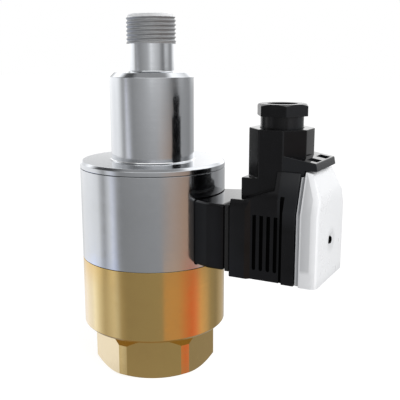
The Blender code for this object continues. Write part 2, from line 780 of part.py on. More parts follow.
# Each pole's name, the middle of its pin and the direction from there to its terminal screw
POLES = (
    ("line", Vector((0.0, PIN_SPACING / 2, AXIS_HEIGHT)), Vector((0.0, -1.0, 0.0))),
    ("neutral", Vector((0.0, -PIN_SPACING / 2, AXIS_HEIGHT)), Vector((0.0, 1.0, 0.0))),
    ("earth", Vector((0.0, 0.0, AXIS_HEIGHT - EARTH_PIN_DROP)), Vector((0.0, 0.0, 1.0))),
)


def pole_box(name, pole, reaches, outside, inside, half_width, look=None):
    """A block at a pole, from outside to inside of its pin's middle plane."""
    centre, inward = pole[1], pole[2]
    along = Vector((1.0, 0.0, 0.0))
    across = inward.cross(along)
    first = centre + along * reaches[0] - inward * outside - across * half_width
    last = centre + along * reaches[1] + inward * inside + across * half_width
    low = [min(pair) for pair in zip(first, last)]
    high = [max(pair) for pair in zip(first, last)]
    return box(name, low, high, look)


def pin_box(pole, word, clearance, end, look=None):
    """A pole's pin, or the space for it, from its root in the terminal base."""
    half_thickness = PIN_THICKNESS / 2 + clearance
    reaches = (BASE_FACE_REACH - PIN_EMBEDMENT - clearance, end)
    half_width = PIN_WIDTH / 2 + clearance
    return pole_box(
        f"{pole[0]}_{word}", pole, reaches, half_thickness, half_thickness, half_width, look
    )


def build_gasket():
    low = (GASKET_REACH, -BASE_HALF_WIDTH, BASE_BOTTOM)
    high = (GASKET_REACH + GASKET_THICKNESS, BASE_HALF_WIDTH, BASE_TOP)
    gasket = box("connector_gasket", low, high, RUBBER)
    for pole in POLES:
        cut(gasket, pin_box(pole, "gasket_hole", SEAT_GAP, CONNECTOR_REACH + OVERRUN))
    start = (BASE_FACE_REACH, 0.0, AXIS_HEIGHT)
    end = (CONNECTOR_REACH, 0.0, AXIS_HEIGHT)
    cut(gasket, rod("gasket_screw_hole", SCREW_HOLE, start, end))


def build_contacts():
    """Insulating block with a contact, a lug and a screw for each pole."""
    half_width = CAVITY_HALF_WIDTH - SEAT_GAP
    low = (BLOCK_REACH, -half_width, AXIS_HEIGHT - CAVITY_DROP + SEAT_GAP)
    high = (BLOCK_FRONT, half_width, AXIS_HEIGHT + CAVITY_RISE - SEAT_GAP)
    block = box("contact_block", low, high, GREY_PLASTIC)
    slot = PIN_THICKNESS / 2 + SEAT_GAP
    leaf = slot + CONTACT_LEAF
    lug_reach = BLOCK_FRONT + SEAT_GAP
    fork_reach = BLOCK_REACH + CONTACT_INSET
    pin_tip = BASE_FACE_REACH + PIN_PROJECTION
    for pole in POLES:
        name, centre, inward = pole
        opening = (BLOCK_REACH - OVERRUN, BLOCK_FRONT + OVERRUN)
        pocket = leaf + SEAT_GAP
        cut(
            block,
            pole_box(
                name + "_contact_pocket", pole, opening, pocket, pocket, CONTACT_WIDTH / 2 + SEAT_GAP
            ),
        )
        contact = pole_box(
            name + "_contact", pole, (fork_reach, lug_reach + SEAT_GAP), leaf, leaf, CONTACT_WIDTH / 2, BRASS
        )
        terminal = TERMINAL_OFFSET + TERMINAL_HEAD_DIAMETER / 2
        lug_reaches = (lug_reach, lug_reach + LUG_DEPTH)
        join(contact, pole_box(name + "_lug", pole, lug_reaches, LUG_MARGIN, terminal, LUG_WIDTH / 2))
        slot_reaches = (fork_reach - OVERRUN, pin_tip + SEAT_GAP)
        cut(contact, pole_box(name + "_fork_slot", pole, slot_reaches, slot, slot, CONTACT_WIDTH))
        hole_axis = centre + inward * TERMINAL_OFFSET
        hole_start = hole_axis + Vector((lug_reach - OVERRUN, 0.0, 0.0))
        hole_end = hole_axis + Vector((lug_reach + LUG_DEPTH + OVERRUN, 0.0, 0.0))
        hole = TERMINAL_SCREW_DIAMETER + 2 * SEAT_GAP
        cut(contact, rod(name + "_screw_hole", hole, hole_start, hole_end))
        pan_head_screw(
            name + "_terminal_screw",
            hole_axis,
            (lug_reach, lug_reach + LUG_DEPTH + SEAT_GAP),
            TERMINAL_SCREW_DIAMETER,
            TERMINAL_HEAD_DIAMETER,
            TERMINAL_HEAD_HEIGHT,
        )
        pin_box(pole, "pin", 0.0, pin_tip, BRASS)
    start = (BLOCK_REACH - OVERRUN, 0.0, AXIS_HEIGHT)
    end = (BLOCK_FRONT + OVERRUN, 0.0, AXIS_HEIGHT)
    cut(block, rod("block_screw_hole", SCREW_HOLE, start, end))


def pan_head_screw(name, axis_point, reaches, diameter, head_diameter, head_height):
    """Screw along +X with its head's seat at the second reach."""
    tip, seat = reaches
    profile = [
        (0.0, seat + head_height),
        (head_diameter / 2, seat + head_height),
        (head_diameter / 2, seat),
        (diameter / 2, seat),
        (diameter / 2, tip),
        (0.0, tip),
    ]
    towards_x = Matrix.Translation(axis_point) @ Matrix.Rotation(math.radians(90.0), 4, "Y")
    turned(name, profile, STEEL, COARSE, towards_x)


def build_central_screw():
    axis_point = Vector((0.0, 0.0, AXIS_HEIGHT))
    reaches = (INSERT_REACH + SCREW_TIP_GAP, BLOCK_FRONT + SEAT_GAP)
    pan_head_screw(
        "connector_screw", axis_point, reaches, SCREW_DIAMETER, SCREW_HEAD_DIAMETER, SCREW_HEAD_HEIGHT
    )
    towards_x = Matrix.Translation(axis_point) @ Matrix.Rotation(math.radians(90.0), 4, "Y")
    ring(
        "threaded_insert",
        INSERT_DIAMETER / 2,
        SCREW_DIAMETER / 2 + SEAT_GAP,
        INSERT_REACH,
        INSERT_REACH + INSERT_LENGTH,
        BRASS,
        COARSE,
        towards_x,
    )


# How much narrower a shoulder gets for each unit of height
SHOULDER_TAPER = (CONNECTOR_HALF_WIDTH - SHOULDER_TOP_HALF_WIDTH) / (SHOULDER_TOP_RISE - SHOULDER_RISE)


def shoulder_half_width(rise):
    return CONNECTOR_HALF_WIDTH - (rise - SHOULDER_RISE) * SHOULDER_TAPER


def shell_outline(inset, top):
    """The connector seen along its axis: upright sides under two sloping shoulders."""
    slant = math.sqrt(1.0 + SHOULDER_TAPER * SHOULDER_TAPER)
    side = CONNECTOR_HALF_WIDTH - inset
    kink = SHOULDER_RISE - inset * (slant - 1.0) / SHOULDER_TAPER
    top_half_width = shoulder_half_width(top) - inset * slant
    bottom = AXIS_HEIGHT - CONNECTOR_DROP + inset
    right = [(side, bottom), (side, AXIS_HEIGHT + kink), (top_half_width, AXIS_HEIGHT + top)]
    return right + [(-across, height) for across, height in reversed(right)]


def build_tower():
    """Cable tower: square where it leaves the housing, octagonal above."""
    half = TOWER_WIDTH / 2
    low = (TOWER_REACH - half, -half, AXIS_HEIGHT + TOWER_ROOT_RISE)
    high = (TOWER_REACH + half, half, TOWER_TOP)
    tower = box("cable_tower", low, high)
    corner_cut = TOWER_WIDTH * (1.0 - math.sqrt(0.5))
    near = half - corner_cut - OVERRUN
    far = half + OVERRUN
    for x_side in (-1, 1):
        for y_side in (-1, 1):
            triangle = [
                (TOWER_REACH + x_side * far, y_side * near),
                (TOWER_REACH + x_side * far, y_side * far),
                (TOWER_REACH + x_side * near, y_side * far),
            ]
            name = f"tower_corner_{x_side + 1}{y_side + 1}"
            bottom = AXIS_HEIGHT + TOWER_SQUARE_RISE
            cut(tower, prism(name, triangle, bottom, TOWER_TOP + OVERRUN, PLAN))
    return round_edges(apply_modifiers(tower), CONNECTOR_EDGE)


def build_tab():
    """Tab over the cover's top edge, with two blind windows."""
    outline = [
        (CONNECTOR_FRONT - TAB_ROOT_DEPTH, AXIS_HEIGHT + TAB_ROOT_RISE),
        (CONNECTOR_FRONT - TAB_HEEL_DEPTH, AXIS_HEIGHT + TAB_ROOT_RISE),
        (CONNECTOR_FRONT - TAB_HEEL_DEPTH, AXIS_HEIGHT + TAB_HEEL_RISE),
        (CONNECTOR_FRONT + TAB_STEP, AXIS_HEIGHT + TAB_HEEL_RISE),
        (CONNECTOR_FRONT + TAB_STEP, AXIS_HEIGHT + TAB_UNDERSIDE_RISE),
        (CONNECTOR_FRONT + TAB_OVERHANG, AXIS_HEIGHT + TAB_UNDERSIDE_RISE),
        (CONNECTOR_FRONT + TAB_OVERHANG - TAB_TIP_LEAN, AXIS_HEIGHT + TAB_TIP_RISE),
        (CONNECTOR_FRONT - TAB_ROOT_DEPTH, AXIS_HEIGHT + TAB_BACK_RISE),
    ]
    tab = prism("cover_tab", outline, -TAB_HALF_WIDTH, TAB_HALF_WIDTH, SIDE)
    return round_edges(tab, TAB_EDGE)


def build_connector_housing():
    """Moulded shell, with the tower and the tab joined on before the cavities are cut."""
    top = SHOULDER_TOP_RISE
    shell = prism(
        "connector_housing", shell_outline(0.0, top), CONNECTOR_REACH, CONNECTOR_FRONT, FACE, BLACK_PLASTIC
    )
    ledge_start = CONNECTOR_REACH + FLANGE_DEPTH
    ledge_end = ledge_start + LEDGE_DEPTH
    flange_top = AXIS_HEIGHT + FLANGE_RISE
    over = AXIS_HEIGHT + top + OVERRUN
    above_ledge = [
        (CONNECTOR_REACH - OVERRUN, flange_top),
        (ledge_start, flange_top),
        (ledge_end, flange_top + LEDGE_CLIMB),
        (ledge_end, over),
        (CONNECTOR_REACH - OVERRUN, over),
    ]
    wide = CONNECTOR_HALF_WIDTH + OVERRUN
    cut(shell, prism("above_ledge", above_ledge, -wide, wide, SIDE))
    round_edges(apply_modifiers(shell), CONNECTOR_EDGE)
    join(shell, build_tower(), build_tab())
    low = (CONNECTOR_REACH - OVERRUN, -CAVITY_HALF_WIDTH, AXIS_HEIGHT - CAVITY_DROP)
    high = (CONNECTOR_FRONT + OVERRUN, CAVITY_HALF_WIDTH, AXIS_HEIGHT + CAVITY_RISE)
    cut(shell, box("connector_cavity", low, high))
    gland_start = (TOWER_REACH, 0.0, GLAND_FLOOR)
    gland_end = (TOWER_REACH, 0.0, TOWER_TOP + OVERRUN)
    cut(shell, rod("gland_bore", GLAND_BORE, gland_start, gland_end))
    passage_start = (TOWER_REACH, 0.0, AXIS_HEIGHT + CAVITY_RISE - OVERRUN)
    passage_end = (TOWER_REACH, 0.0, GLAND_FLOOR + OVERRUN)
    cut(shell, rod("cable_passage", PASSAGE_DIAMETER, passage_start, passage_end))
    cut_ledge_grooves(shell)
    cut_side_panels(shell)
    cut_tab_windows(shell)


def cut_ledge_grooves(shell):
    """Sinks a narrow groove in each side of the tower's foot, just above the sloping ledge."""
    slope = LEDGE_CLIMB / LEDGE_DEPTH
    ledge_start = CONNECTOR_REACH + FLANGE_DEPTH
    start = ledge_start - LEDGE_GROOVE_HEIGHT
    end = ledge_start + LEDGE_DEPTH - LEDGE_GROOVE_HEIGHT
    outline = []
    for reach, rise in ((start, 0.0), (end, 0.0), (end, LEDGE_GROOVE_HEIGHT), (start, LEDGE_GROOVE_HEIGHT)):
        ledge = AXIS_HEIGHT + FLANGE_RISE + (reach - ledge_start) * slope
        outline.append((reach, ledge + LEDGE_GROOVE_RISE + rise))
    inner = TOWER_WIDTH / 2 - LEDGE_GROOVE_DEPTH
    outer = TOWER_WIDTH / 2 + OVERRUN
    for side in (-1, 1):
        cut(shell, prism(f"ledge_groove_{side + 1}", outline, -side * inner, -side * outer, SIDE))


def cut_side_panels(shell):
    """Sinks a panel in each side, open at the bottom, with a row of upright grip slots."""
    panel = CONNECTOR_HALF_WIDTH - PANEL_DEPTH
    far = CONNECTOR_HALF_WIDTH + OVERRUN
    ramp = PANEL_RAMP / PANEL_DEPTH
    start = CONNECTOR_REACH + PANEL_START
    end = CONNECTOR_REACH + PANEL_END
    bottom = AXIS_HEIGHT - CONNECTOR_DROP - OVERRUN
    top = AXIS_HEIGHT + SHOULDER_TOP_RISE
    slot_bottom = AXIS_HEIGHT - SLOT_DROP + SLOT_WIDTH / 2
    slot_top = AXIS_HEIGHT + SLOT_RISE - SLOT_WIDTH / 2
    for side in (-1, 1):
        outline = [
            (start - ramp * OVERRUN, side * far),
            (start + PANEL_RAMP, side * panel),
            (end, side * panel),
            (end, side * far),
        ]
        cut(shell, prism(f"side_panel_{side + 1}", outline, bottom, top, PLAN))
        groove_floor = side * (panel - PANEL_GROOVE_DEPTH)
        corners = [
            (end - PANEL_GROOVE_WIDTH, groove_floor),
            (end, groove_floor),
            (end, side * far),
            (end - PANEL_GROOVE_WIDTH, side * far),
        ]
        cut(shell, prism(f"panel_groove_{side + 1}", corners, bottom, top, PLAN))
        for number in range(SLOT_COUNT):
            reach = TOWER_REACH + (number - (SLOT_COUNT - 1) / 2) * SLOT_PITCH
            slot = arc((reach, slot_bottom), SLOT_WIDTH / 2, 180.0, 360.0, 4)
            slot += arc((reach, slot_top), SLOT_WIDTH / 2, 0.0, 180.0, 4)
            name = f"grip_slot_{side + 1}{number}"
            floor = panel - SLOT_DEPTH
            cut(shell, prism(name, slot, -side * floor, -side * far, SIDE))
            ramp_end = slot_top + SLOT_RAMP * (far - floor) / SLOT_DEPTH
            wedge = [
                (side * floor, slot_top - SLOT_WIDTH / 2),
                (side * far, slot_top - SLOT_WIDTH / 2),
                (side * far, ramp_end),
                (side * floor, slot_top),
            ]
            left = reach - SLOT_WIDTH / 2
            cut(shell, prism(name + "_ramp", wedge, left, left + SLOT_WIDTH, FACE))


def cut_tab_windows(shell):
    start = CONNECTOR_FRONT + WINDOW_OFFSET
    floor = AXIS_HEIGHT + TAB_UNDERSIDE_RISE + WINDOW_FLOOR
    for side in (-1, 1):
        middle = side * WINDOW_SPACING / 2
        low = (start, middle - WINDOW_WIDTH / 2, floor)
        high = (start + WINDOW_LENGTH, middle + WINDOW_WIDTH / 2, floor + OVERRUN)
        cut(shell, box(f"tab_window_{side + 1}", low, high))


def cover_form(name, inset, lip_inset, start, look=None):
    """The cover's outer form, or its cavity if it is inset: a narrower lip behind the main form."""
    top = TAB_UNDERSIDE_RISE - SEAT_GAP - inset
    front = COVER_FRONT - inset
    step_reach = COVER_REACH + COVER_LIP_DEPTH + (inset if inset > 0.0 else 0.0)
    form = prism(name, shell_outline(inset, top), step_reach, front, FACE, look)
    lip_top = TAB_HEEL_RISE - SEAT_GAP - inset
    lip_outline = shell_outline(lip_inset, lip_top)
    join(form, prism(name + "_lip", lip_outline, start, step_reach + SEAT_GAP, FACE))
    wide = CONNECTOR_HALF_WIDTH + OVERRUN
    shift = inset * (math.sqrt(1.0 + COVER_SLOPE * COVER_SLOPE) - 1.0)
    slope_top = top + OVERRUN
    setback = (slope_top - COVER_SLOPE_RISE) * COVER_SLOPE + shift
    below = OVERRUN * COVER_SLOPE - shift
    wedge = [
        (front + below, AXIS_HEIGHT + COVER_SLOPE_RISE - OVERRUN),
        (front + OVERRUN, AXIS_HEIGHT + COVER_SLOPE_RISE - OVERRUN),
        (front + OVERRUN, AXIS_HEIGHT + slope_top),
        (front - setback, AXIS_HEIGHT + slope_top),
    ]
    cut(form, prism(name + "_slope", wedge, -wide, wide, SIDE))
    return apply_modifiers(form)


def build_cover():
    """Clear cover, open towards the connector, with a hole for a screwdriver."""
    cover = cover_form("connector_cover", 0.0, COVER_LIP_STEP, COVER_REACH, CLEAR_PLASTIC)
    round_front_edges(cover)
    lip_wall = COVER_LIP_STEP + COVER_WALL - SEAT_GAP
    cut(cover, cover_form("cover_cavity", COVER_WALL, lip_wall, COVER_REACH - OVERRUN))
    start = (COVER_FRONT - COVER_WALL - OVERRUN, 0.0, AXIS_HEIGHT)
    dish_start = (COVER_FRONT - DISH_DEPTH, 0.0, AXIS_HEIGHT)
    dish_end = (COVER_FRONT + DISH_DEPTH, 0.0, AXIS_HEIGHT)
    wide_end = 2 * DISH_DIAMETER - DRIVER_HOLE
    cut(cover, rod("driver_dish", DRIVER_HOLE, dish_start, dish_end, end_diameter=wide_end))
    cut(cover, rod("driver_hole", DRIVER_HOLE, start, dish_end))


def round_front_edges(cover):
    """Rounds the edges round the cover's outer face, except at its bottom and its mouth."""
    mesh = cover.data
    weights = mesh.attributes.new("bevel_weight_edge", "FLOAT", "EDGE")
    step = COVER_REACH + COVER_LIP_DEPTH + SEAT_GAP
    for edge in mesh.edges:
        ends = [cover.matrix_local @ mesh.vertices[index].co for index in edge.vertices]
        on_front = min(end.x for end in ends) > step
        above_bottom = max(end.z for end in ends) > AXIS_HEIGHT
        weights.data[edge.index].value = 1.0 if on_front and above_bottom else 0.0
    modifier = cover.modifiers.new("edge", "BEVEL")
    modifier.width = COVER_EDGE
    modifier.segments = 2
    modifier.limit_method = "WEIGHT"


def build_gland():
    """Compression nut, washer and seal that grip the cable in the tower."""
    on_axis = Matrix.Translation((TOWER_REACH, 0.0, 0.0))
    face = GLAND_ACROSS_FLATS / 2
    corner = GLAND_CORNER_DIAMETER / 2
    neck = GLAND_NECK_DIAMETER / 2
    hole = GLAND_CABLE_HOLE / 2
    inside = GLAND_BORE / 2 - SEAT_GAP
    seal_bottom = GLAND_FLOOR + SEAT_GAP
    washer_bottom = seal_bottom + GLAND_SEAL_HEIGHT + SEAT_GAP
    nut_bottom = washer_bottom + GLAND_WASHER_THICKNESS + SEAT_GAP
    hex_bottom = TOWER_TOP + GLAND_NECK_HEIGHT
    hex_top = hex_bottom + GLAND_HEX_HEIGHT
    profile = [
        *hex_profile(face, corner, hex_bottom, hex_top, HEX_BOTTOM_ANGLE, 0.0),
        (neck, hex_bottom),
        (neck, nut_bottom),
        (hole, nut_bottom),
        (hole, hex_top),
    ]
    nut = turned("gland_nut", profile, BLACK_PLASTIC, MEDIUM, on_axis)
    flats = hexagon(
        "gland_flats",
        GLAND_ACROSS_FLATS,
        nut_bottom - OVERRUN,
        hex_top + OVERRUN,
        (TOWER_REACH, 0.0),
        0.0,
    )
    combine(nut, flats, "INTERSECT")
    washer_top = washer_bottom + GLAND_WASHER_THICKNESS
    ring("gland_washer", inside, hole, washer_bottom, washer_top, STEEL, COARSE, on_axis)
    seal_top = seal_bottom + GLAND_SEAL_HEIGHT
    ring("gland_seal", inside, GLAND_SEAL_BORE / 2, seal_bottom, seal_top, RUBBER, COARSE, on_axis)


build_top_cap()
build_coil_housing()
build_brass_body()
build_hex_fitting()
build_guide_tube()
build_fixed_core()
build_plunger()
build_return_spring()
ring(
    "lower_flux_plate",
    INSERT_RADIUS_IN_HOUSING,
    TUBE_HOLE_RADIUS,
    FLUX_PLATE_BOTTOM,
    FLUX_PLATE_TOP,
    MAGNET_STEEL,
)
build_coil()
build_gasket()
build_contacts()
build_central_screw()
build_connector_housing()
build_cover()
build_gland()
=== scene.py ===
"""Looks of the release solenoid valve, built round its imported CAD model."""

import math

import bmesh
import bpy
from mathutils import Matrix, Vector


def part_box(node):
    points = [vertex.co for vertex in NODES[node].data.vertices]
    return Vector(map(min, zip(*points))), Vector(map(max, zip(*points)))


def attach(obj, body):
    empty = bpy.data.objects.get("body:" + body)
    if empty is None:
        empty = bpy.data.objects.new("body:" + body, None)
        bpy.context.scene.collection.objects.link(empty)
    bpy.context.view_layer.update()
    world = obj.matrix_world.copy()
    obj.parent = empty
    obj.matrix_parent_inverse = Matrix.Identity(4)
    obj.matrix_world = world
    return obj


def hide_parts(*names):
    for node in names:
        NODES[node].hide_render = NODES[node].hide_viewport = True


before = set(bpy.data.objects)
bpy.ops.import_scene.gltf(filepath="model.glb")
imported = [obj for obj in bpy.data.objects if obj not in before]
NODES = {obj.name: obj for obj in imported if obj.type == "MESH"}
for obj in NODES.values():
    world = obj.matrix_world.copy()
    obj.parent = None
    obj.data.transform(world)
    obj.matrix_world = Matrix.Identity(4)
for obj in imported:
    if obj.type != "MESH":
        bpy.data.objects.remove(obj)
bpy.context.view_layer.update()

MM = 0.001
BODY = "valve_body"
WHITE = (1.0, 1.0, 1.0)

# Radii that several turned parts share, and the gap between seated faces in the CAD model

BARREL_RADIUS = 25.0 * MM
HOUSING_BORE = 22.5 * MM
TUBE_HOLE = 8.3 * MM
GAP = 0.3 * MM

# Places of the parts, from the CAD nodes

HOUSING_LOW, HOUSING_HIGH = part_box("coil_housing")
AXIS_X = (HOUSING_LOW.x + HOUSING_HIGH.x) / 2
HOUSING_BOTTOM, HOUSING_TOP = HOUSING_LOW.z, HOUSING_HIGH.z
LID_BOTTOM = HOUSING_TOP + GAP
LID_TOP = LID_BOTTOM + 2.2 * MM
BOSS_TOP = LID_TOP + 29.4 * MM
CAP_BOTTOM, STUB_TOP = (corner.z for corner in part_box("top_cap"))
NECK_TOP = STUB_TOP - 9.6 * MM
BRASS_BOTTOM, BRASS_TOP = (corner.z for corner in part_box("brass_body"))
SEAT = BRASS_BOTTOM - GAP
NOZZLE_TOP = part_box("hex_fitting")[1].z
SHELL_LOW, SHELL_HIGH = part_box("connector_housing")
COVER_LOW, COVER_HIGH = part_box("connector_cover")
SCREW_LOW, SCREW_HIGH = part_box("connector_screw")
SCREW_HEIGHT = (SCREW_LOW.z + SCREW_HIGH.z) / 2
TAB_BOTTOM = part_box("coil_encapsulation")[1].z + 11.0 * MM


# Mesh helpers

def link(name, data):
    piece = bpy.data.objects.new(name, data)
    bpy.context.scene.collection.objects.link(piece)
    return piece


def finished(name, shape):
    """Makes an object of a bmesh and frees it."""
    bmesh.ops.recalc_face_normals(shape, faces=shape.faces)
    mesh = bpy.data.meshes.new(name)
    shape.to_mesh(mesh)
    shape.free()
    return link(name, mesh)


def soften(profile, radius):
    """Rounds the corners of a closed (radius, height) outline. Points with a changing radius stay."""
    least_turn = 20.0
    longest_share = 0.45
    steps = 3
    result = []
    for index, point in enumerate(profile):
        before = profile[index - 1]
        after = profile[(index + 1) % len(profile)]
        if any(callable(p[0]) for p in (before, point, after)):
            result.append(point)
            continue
        here = Vector(point)
        back = Vector(before) - here
        ahead = Vector(after) - here
        turn = math.pi - back.angle(ahead, math.pi)
        if math.degrees(turn) < least_turn:
            result.append(point)
            continue
        reach = min(radius, back.length * longest_share, ahead.length * longest_share)
        start = here + back.normalized() * reach
        end = here + ahead.normalized() * reach
        for step in range(steps + 1):
            share = step / steps
            first = start.lerp(here, share)
            second = here.lerp(end, share)
            result.append(tuple(first.lerp(second, share)))
    return result


def fillet(radius, height, size, count=5):
    """Hollow corner between an upright wall and the flat below it, from top to bottom."""
    points = []
    for step in range(count + 1):
        angle = math.radians(180.0 + 90.0 * step / count)
        points.append((radius + size + size * math.cos(angle), height + size + size * math.sin(angle)))
    return points


def revolve(name, profile, locate, steps):
    """Revolves a closed outline; locate gives a point's place. A radius may change with the angle."""
    shape = bmesh.new()
    rings = []
    for radius, height in profile:
        ring = []
        for step in range(steps):
            angle = math.tau * step / steps
            reach = radius(angle) if callable(radius) else radius
            ring.append(shape.verts.new(locate(reach, height, angle)))
        rings.append(ring)
    for index, ring in enumerate(rings):
        following = rings[(index + 1) % len(rings)]
        for step in range(steps):
            ahead = (step + 1) % steps
            shape.faces.new((ring[step], following[step], following[ahead], ring[ahead]))
    return finished(name, shape)


def lathe(name, profile):
    """Revolves a closed outline of (radius, height) points about the valve's axis."""
    def locate(reach, height, angle):
        return AXIS_X + reach * math.cos(angle), reach * math.sin(angle), height

    return revolve(name, profile, locate, steps=180)


def bake(piece):
    """Turns a piece's modifiers into its mesh."""
    bpy.context.view_layer.update()
    graph = bpy.context.evaluated_depsgraph_get()
    mesh = bpy.data.meshes.new_from_object(piece.evaluated_get(graph))
    piece.modifiers.clear()
    piece.data = mesh


def smooth(piece, angle):
    """Shades a piece smooth, apart from edges sharper than the angle in degrees."""
    piece.data.shade_smooth()
    piece.data.set_sharp_from_angle(angle=math.radians(angle))
    normals = piece.modifiers.new("normals", "WEIGHTED_NORMAL")
    normals.keep_sharp = True
    normals.weight = 80
    bake(piece)


def bevel(piece, width, segments, angle):
    edge = piece.modifiers.new("edge", "BEVEL")
    edge.width = width
    edge.segments = segments
    edge.limit_method = "ANGLE"
    edge.angle_limit = math.radians(angle)
    edge.harden_normals = False
    bake(piece)


def combine(piece, tool, operation):
    """Cuts a piece with a tool, or keeps what both share, and removes the tool."""
    modifier = piece.modifiers.new("combine", "BOOLEAN")
    modifier.operation = operation
    modifier.solver = "EXACT"
    modifier.object = tool
    bake(piece)
    bpy.data.objects.remove(tool)


def prism(name, outline, bottom, top):
    shape = bmesh.new()
    base = shape.faces.new([shape.verts.new((x, y, bottom)) for x, y in outline])
    raised = bmesh.ops.extrude_face_region(shape, geom=[base])["geom"]
    moved = [item for item in raised if isinstance(item, bmesh.types.BMVert)]
    bmesh.ops.translate(shape, verts=moved, vec=(0.0, 0.0, top - bottom))
    return finished(name, shape)


def stands_for(piece, node, material):
    piece.data.materials.clear()
    piece.data.materials.append(material)
    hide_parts(node)
    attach(piece, BODY)
    return piece


def refined(node, name, width, material):
    """A finer copy of a CAD node, with softened edges, which stands for it."""
    shape = bmesh.new()
    shape.from_mesh(NODES[node].data)
    bmesh.ops.remove_doubles(shape, verts=shape.verts, dist=0.002 * MM)
    bmesh.ops.dissolve_limit(
        shape, angle_limit=math.radians(1.0), verts=shape.verts, edges=shape.edges
    )
    mesh = bpy.data.meshes.new(name)
    shape.to_mesh(mesh)
    shape.free()
    if mesh.attributes.get("custom_normal"):
        mesh.attributes.remove(mesh.attributes["custom_normal"])
    mesh.materials.clear()
    piece = link(name, mesh)
    for edge in mesh.edges:
        edge.use_edge_sharp = False
    bevel(piece, width, segments=2, angle=35.0)
    smooth(piece, 35.0)
    return stands_for(piece, node, material)


# Material helpers

def feed(tree, socket, value):
    """Links a socket to another one, or gives it a value."""
    if isinstance(value, bpy.types.NodeSocket):
        tree.links.new(value, socket)
    else:
        socket.default_value = value


def add(tree, kind, inputs=None, **settings):
    node = tree.nodes.new(kind)
    for key, value in settings.items():
        setattr(node, key, value)
    for key, value in (inputs or {}).items():
        feed(tree, node.inputs[key], value)
    return node


def new_material(name):
    material = bpy.data.materials.new(name)
    material.use_nodes = True
    tree = material.node_tree
    shader = tree.nodes["Principled BSDF"]
    return material, tree, shader


def set_value(tree, shader, **values):
    """Feeds sockets by name, with words joined by an underscore."""
    for key, value in values.items():
        feed(tree, shader.inputs[key.replace("_", " ")], value)


def noise(tree, place, scale, detail=3.0, roughness=0.5):
    """Noise about 0.5. The scale is in waves per metre."""
    values = {"Vector": place, "Scale": scale, "Detail": detail, "Roughness": roughness}
    return add(tree, "ShaderNodeTexNoise", values).outputs["Fac"]


def spread(tree, value, low, high, start=0.3, end=0.7):
    """Gives low at start, high at end and no more beyond them. The defaults suit a noise value."""
    inputs = {"Value": value, "From Min": start, "From Max": end, "To Min": low, "To Max": high}
    return add(tree, "ShaderNodeMapRange", inputs).outputs["Result"]


def rising(tree, value, start, end):
    """Share that is 0 up to start and 1 from end on."""
    return spread(tree, value, 0.0, 1.0, start, end)


def falling(tree, value, start, end):
    """Share that is 1 up to start and 0 from end on."""
    return spread(tree, value, 1.0, 0.0, start, end)


def compute(tree, operation, *values):
    """Result of one arithmetic step."""
    return add(tree, "ShaderNodeMath", dict(enumerate(values)), operation=operation).outputs["Value"]


def product(tree, first, *others):
    result = first
    for other in others:
        result = compute(tree, "MULTIPLY", result, other)
    return result


def blend_colours(tree, share, first, second):
    """Mixes two colours, each written as red, green and blue or linked from a socket.

    The Mix node has its share in input 0, its colours in inputs 6 and 7, and the result in output 2.
    """
    node = add(tree, "ShaderNodeMix", data_type="RGBA")
    for key, value in ((0, share), (6, first), (7, second)):
        feed(tree, node.inputs[key], (*value, 1.0) if isinstance(value, tuple) else value)
    return node.outputs[2]


def relief(tree, height, strength, depth=0.03 * MM):
    """Normal of a surface with fine bumps."""
    inputs = {"Strength": strength, "Distance": depth, "Height": height}
    return add(tree, "ShaderNodeBump", inputs).outputs["Normal"]


def object_place(tree):
    return add(tree, "ShaderNodeTexCoord").outputs["Object"]


def coordinate(tree, place, axis):
    return add(tree, "ShaderNodeSeparateXYZ", {"Vector": place}).outputs[axis]


def turning_place(tree, place):
    """Coordinates that change only with the distance from the valve's axis and with height."""
    shift = {0: place, 1: (-AXIS_X, 0.0, 0.0)}
    centred = add(tree, "ShaderNodeVectorMath", shift, operation="ADD").outputs["Vector"]
    flatten = {0: centred, 1: (1.0, 1.0, 0.0)}
    flat = add(tree, "ShaderNodeVectorMath", flatten, operation="MULTIPLY").outputs["Vector"]
    radius = add(tree, "ShaderNodeVectorMath", {0: flat}, operation="LENGTH").outputs["Value"]
    rings = {"X": radius, "Y": 0.0, "Z": coordinate(tree, place, "Z")}
    return add(tree, "ShaderNodeCombineXYZ", rings).outputs[0]


def turned_metal(name, colour, stain, roughness, marks, anisotropy=0.35):
    """Machined metal: rings left by the tool, a faint stain and handling marks."""
    material, tree, shader = new_material(name)
    place = object_place(tree)
    rings = turning_place(tree, place)
    fine = noise(tree, rings, scale=5200.0, detail=2.0)
    broad = noise(tree, rings, scale=900.0, detail=2.0)
    patches = noise(tree, place, scale=90.0, detail=4.0, roughness=0.6)
    smears = noise(tree, place, scale=420.0, detail=3.0, roughness=0.65)
    stained = spread(tree, patches, 0.0, 0.55, start=0.45, end=0.75)
    handled = spread(tree, smears, roughness - 0.02, roughness + 0.05)
    tooled = spread(tree, fine, -0.015, 0.03)
    set_value(
        tree,
        shader,
        Base_Color=blend_colours(tree, stained, colour, stain),
        Metallic=1.0,
        Roughness=compute(tree, "ADD", handled, tooled),
        Anisotropic=anisotropy,
        Tangent=add(tree, "ShaderNodeTangent", direction_type="RADIAL", axis="Z").outputs[0],
        Normal=relief(tree, compute(tree, "ADD", fine, broad), marks),
    )
    return material


def plain_metal(name, colour, stain, roughness):
    """Drawn or plated metal with soft mottling."""
    material, tree, shader = new_material(name)
    place = object_place(tree)
    patches = noise(tree, place, scale=300.0, detail=4.0, roughness=0.6)
    grain = noise(tree, place, scale=3600.0, detail=2.0)
    set_value(
        tree,
        shader,
        Base_Color=blend_colours(tree, spread(tree, patches, 0.0, 0.7), colour, stain),
        Metallic=1.0,
        Roughness=spread(tree, patches, roughness - 0.04, roughness + 0.08),
        Normal=relief(tree, grain, 0.1),
    )
    return material


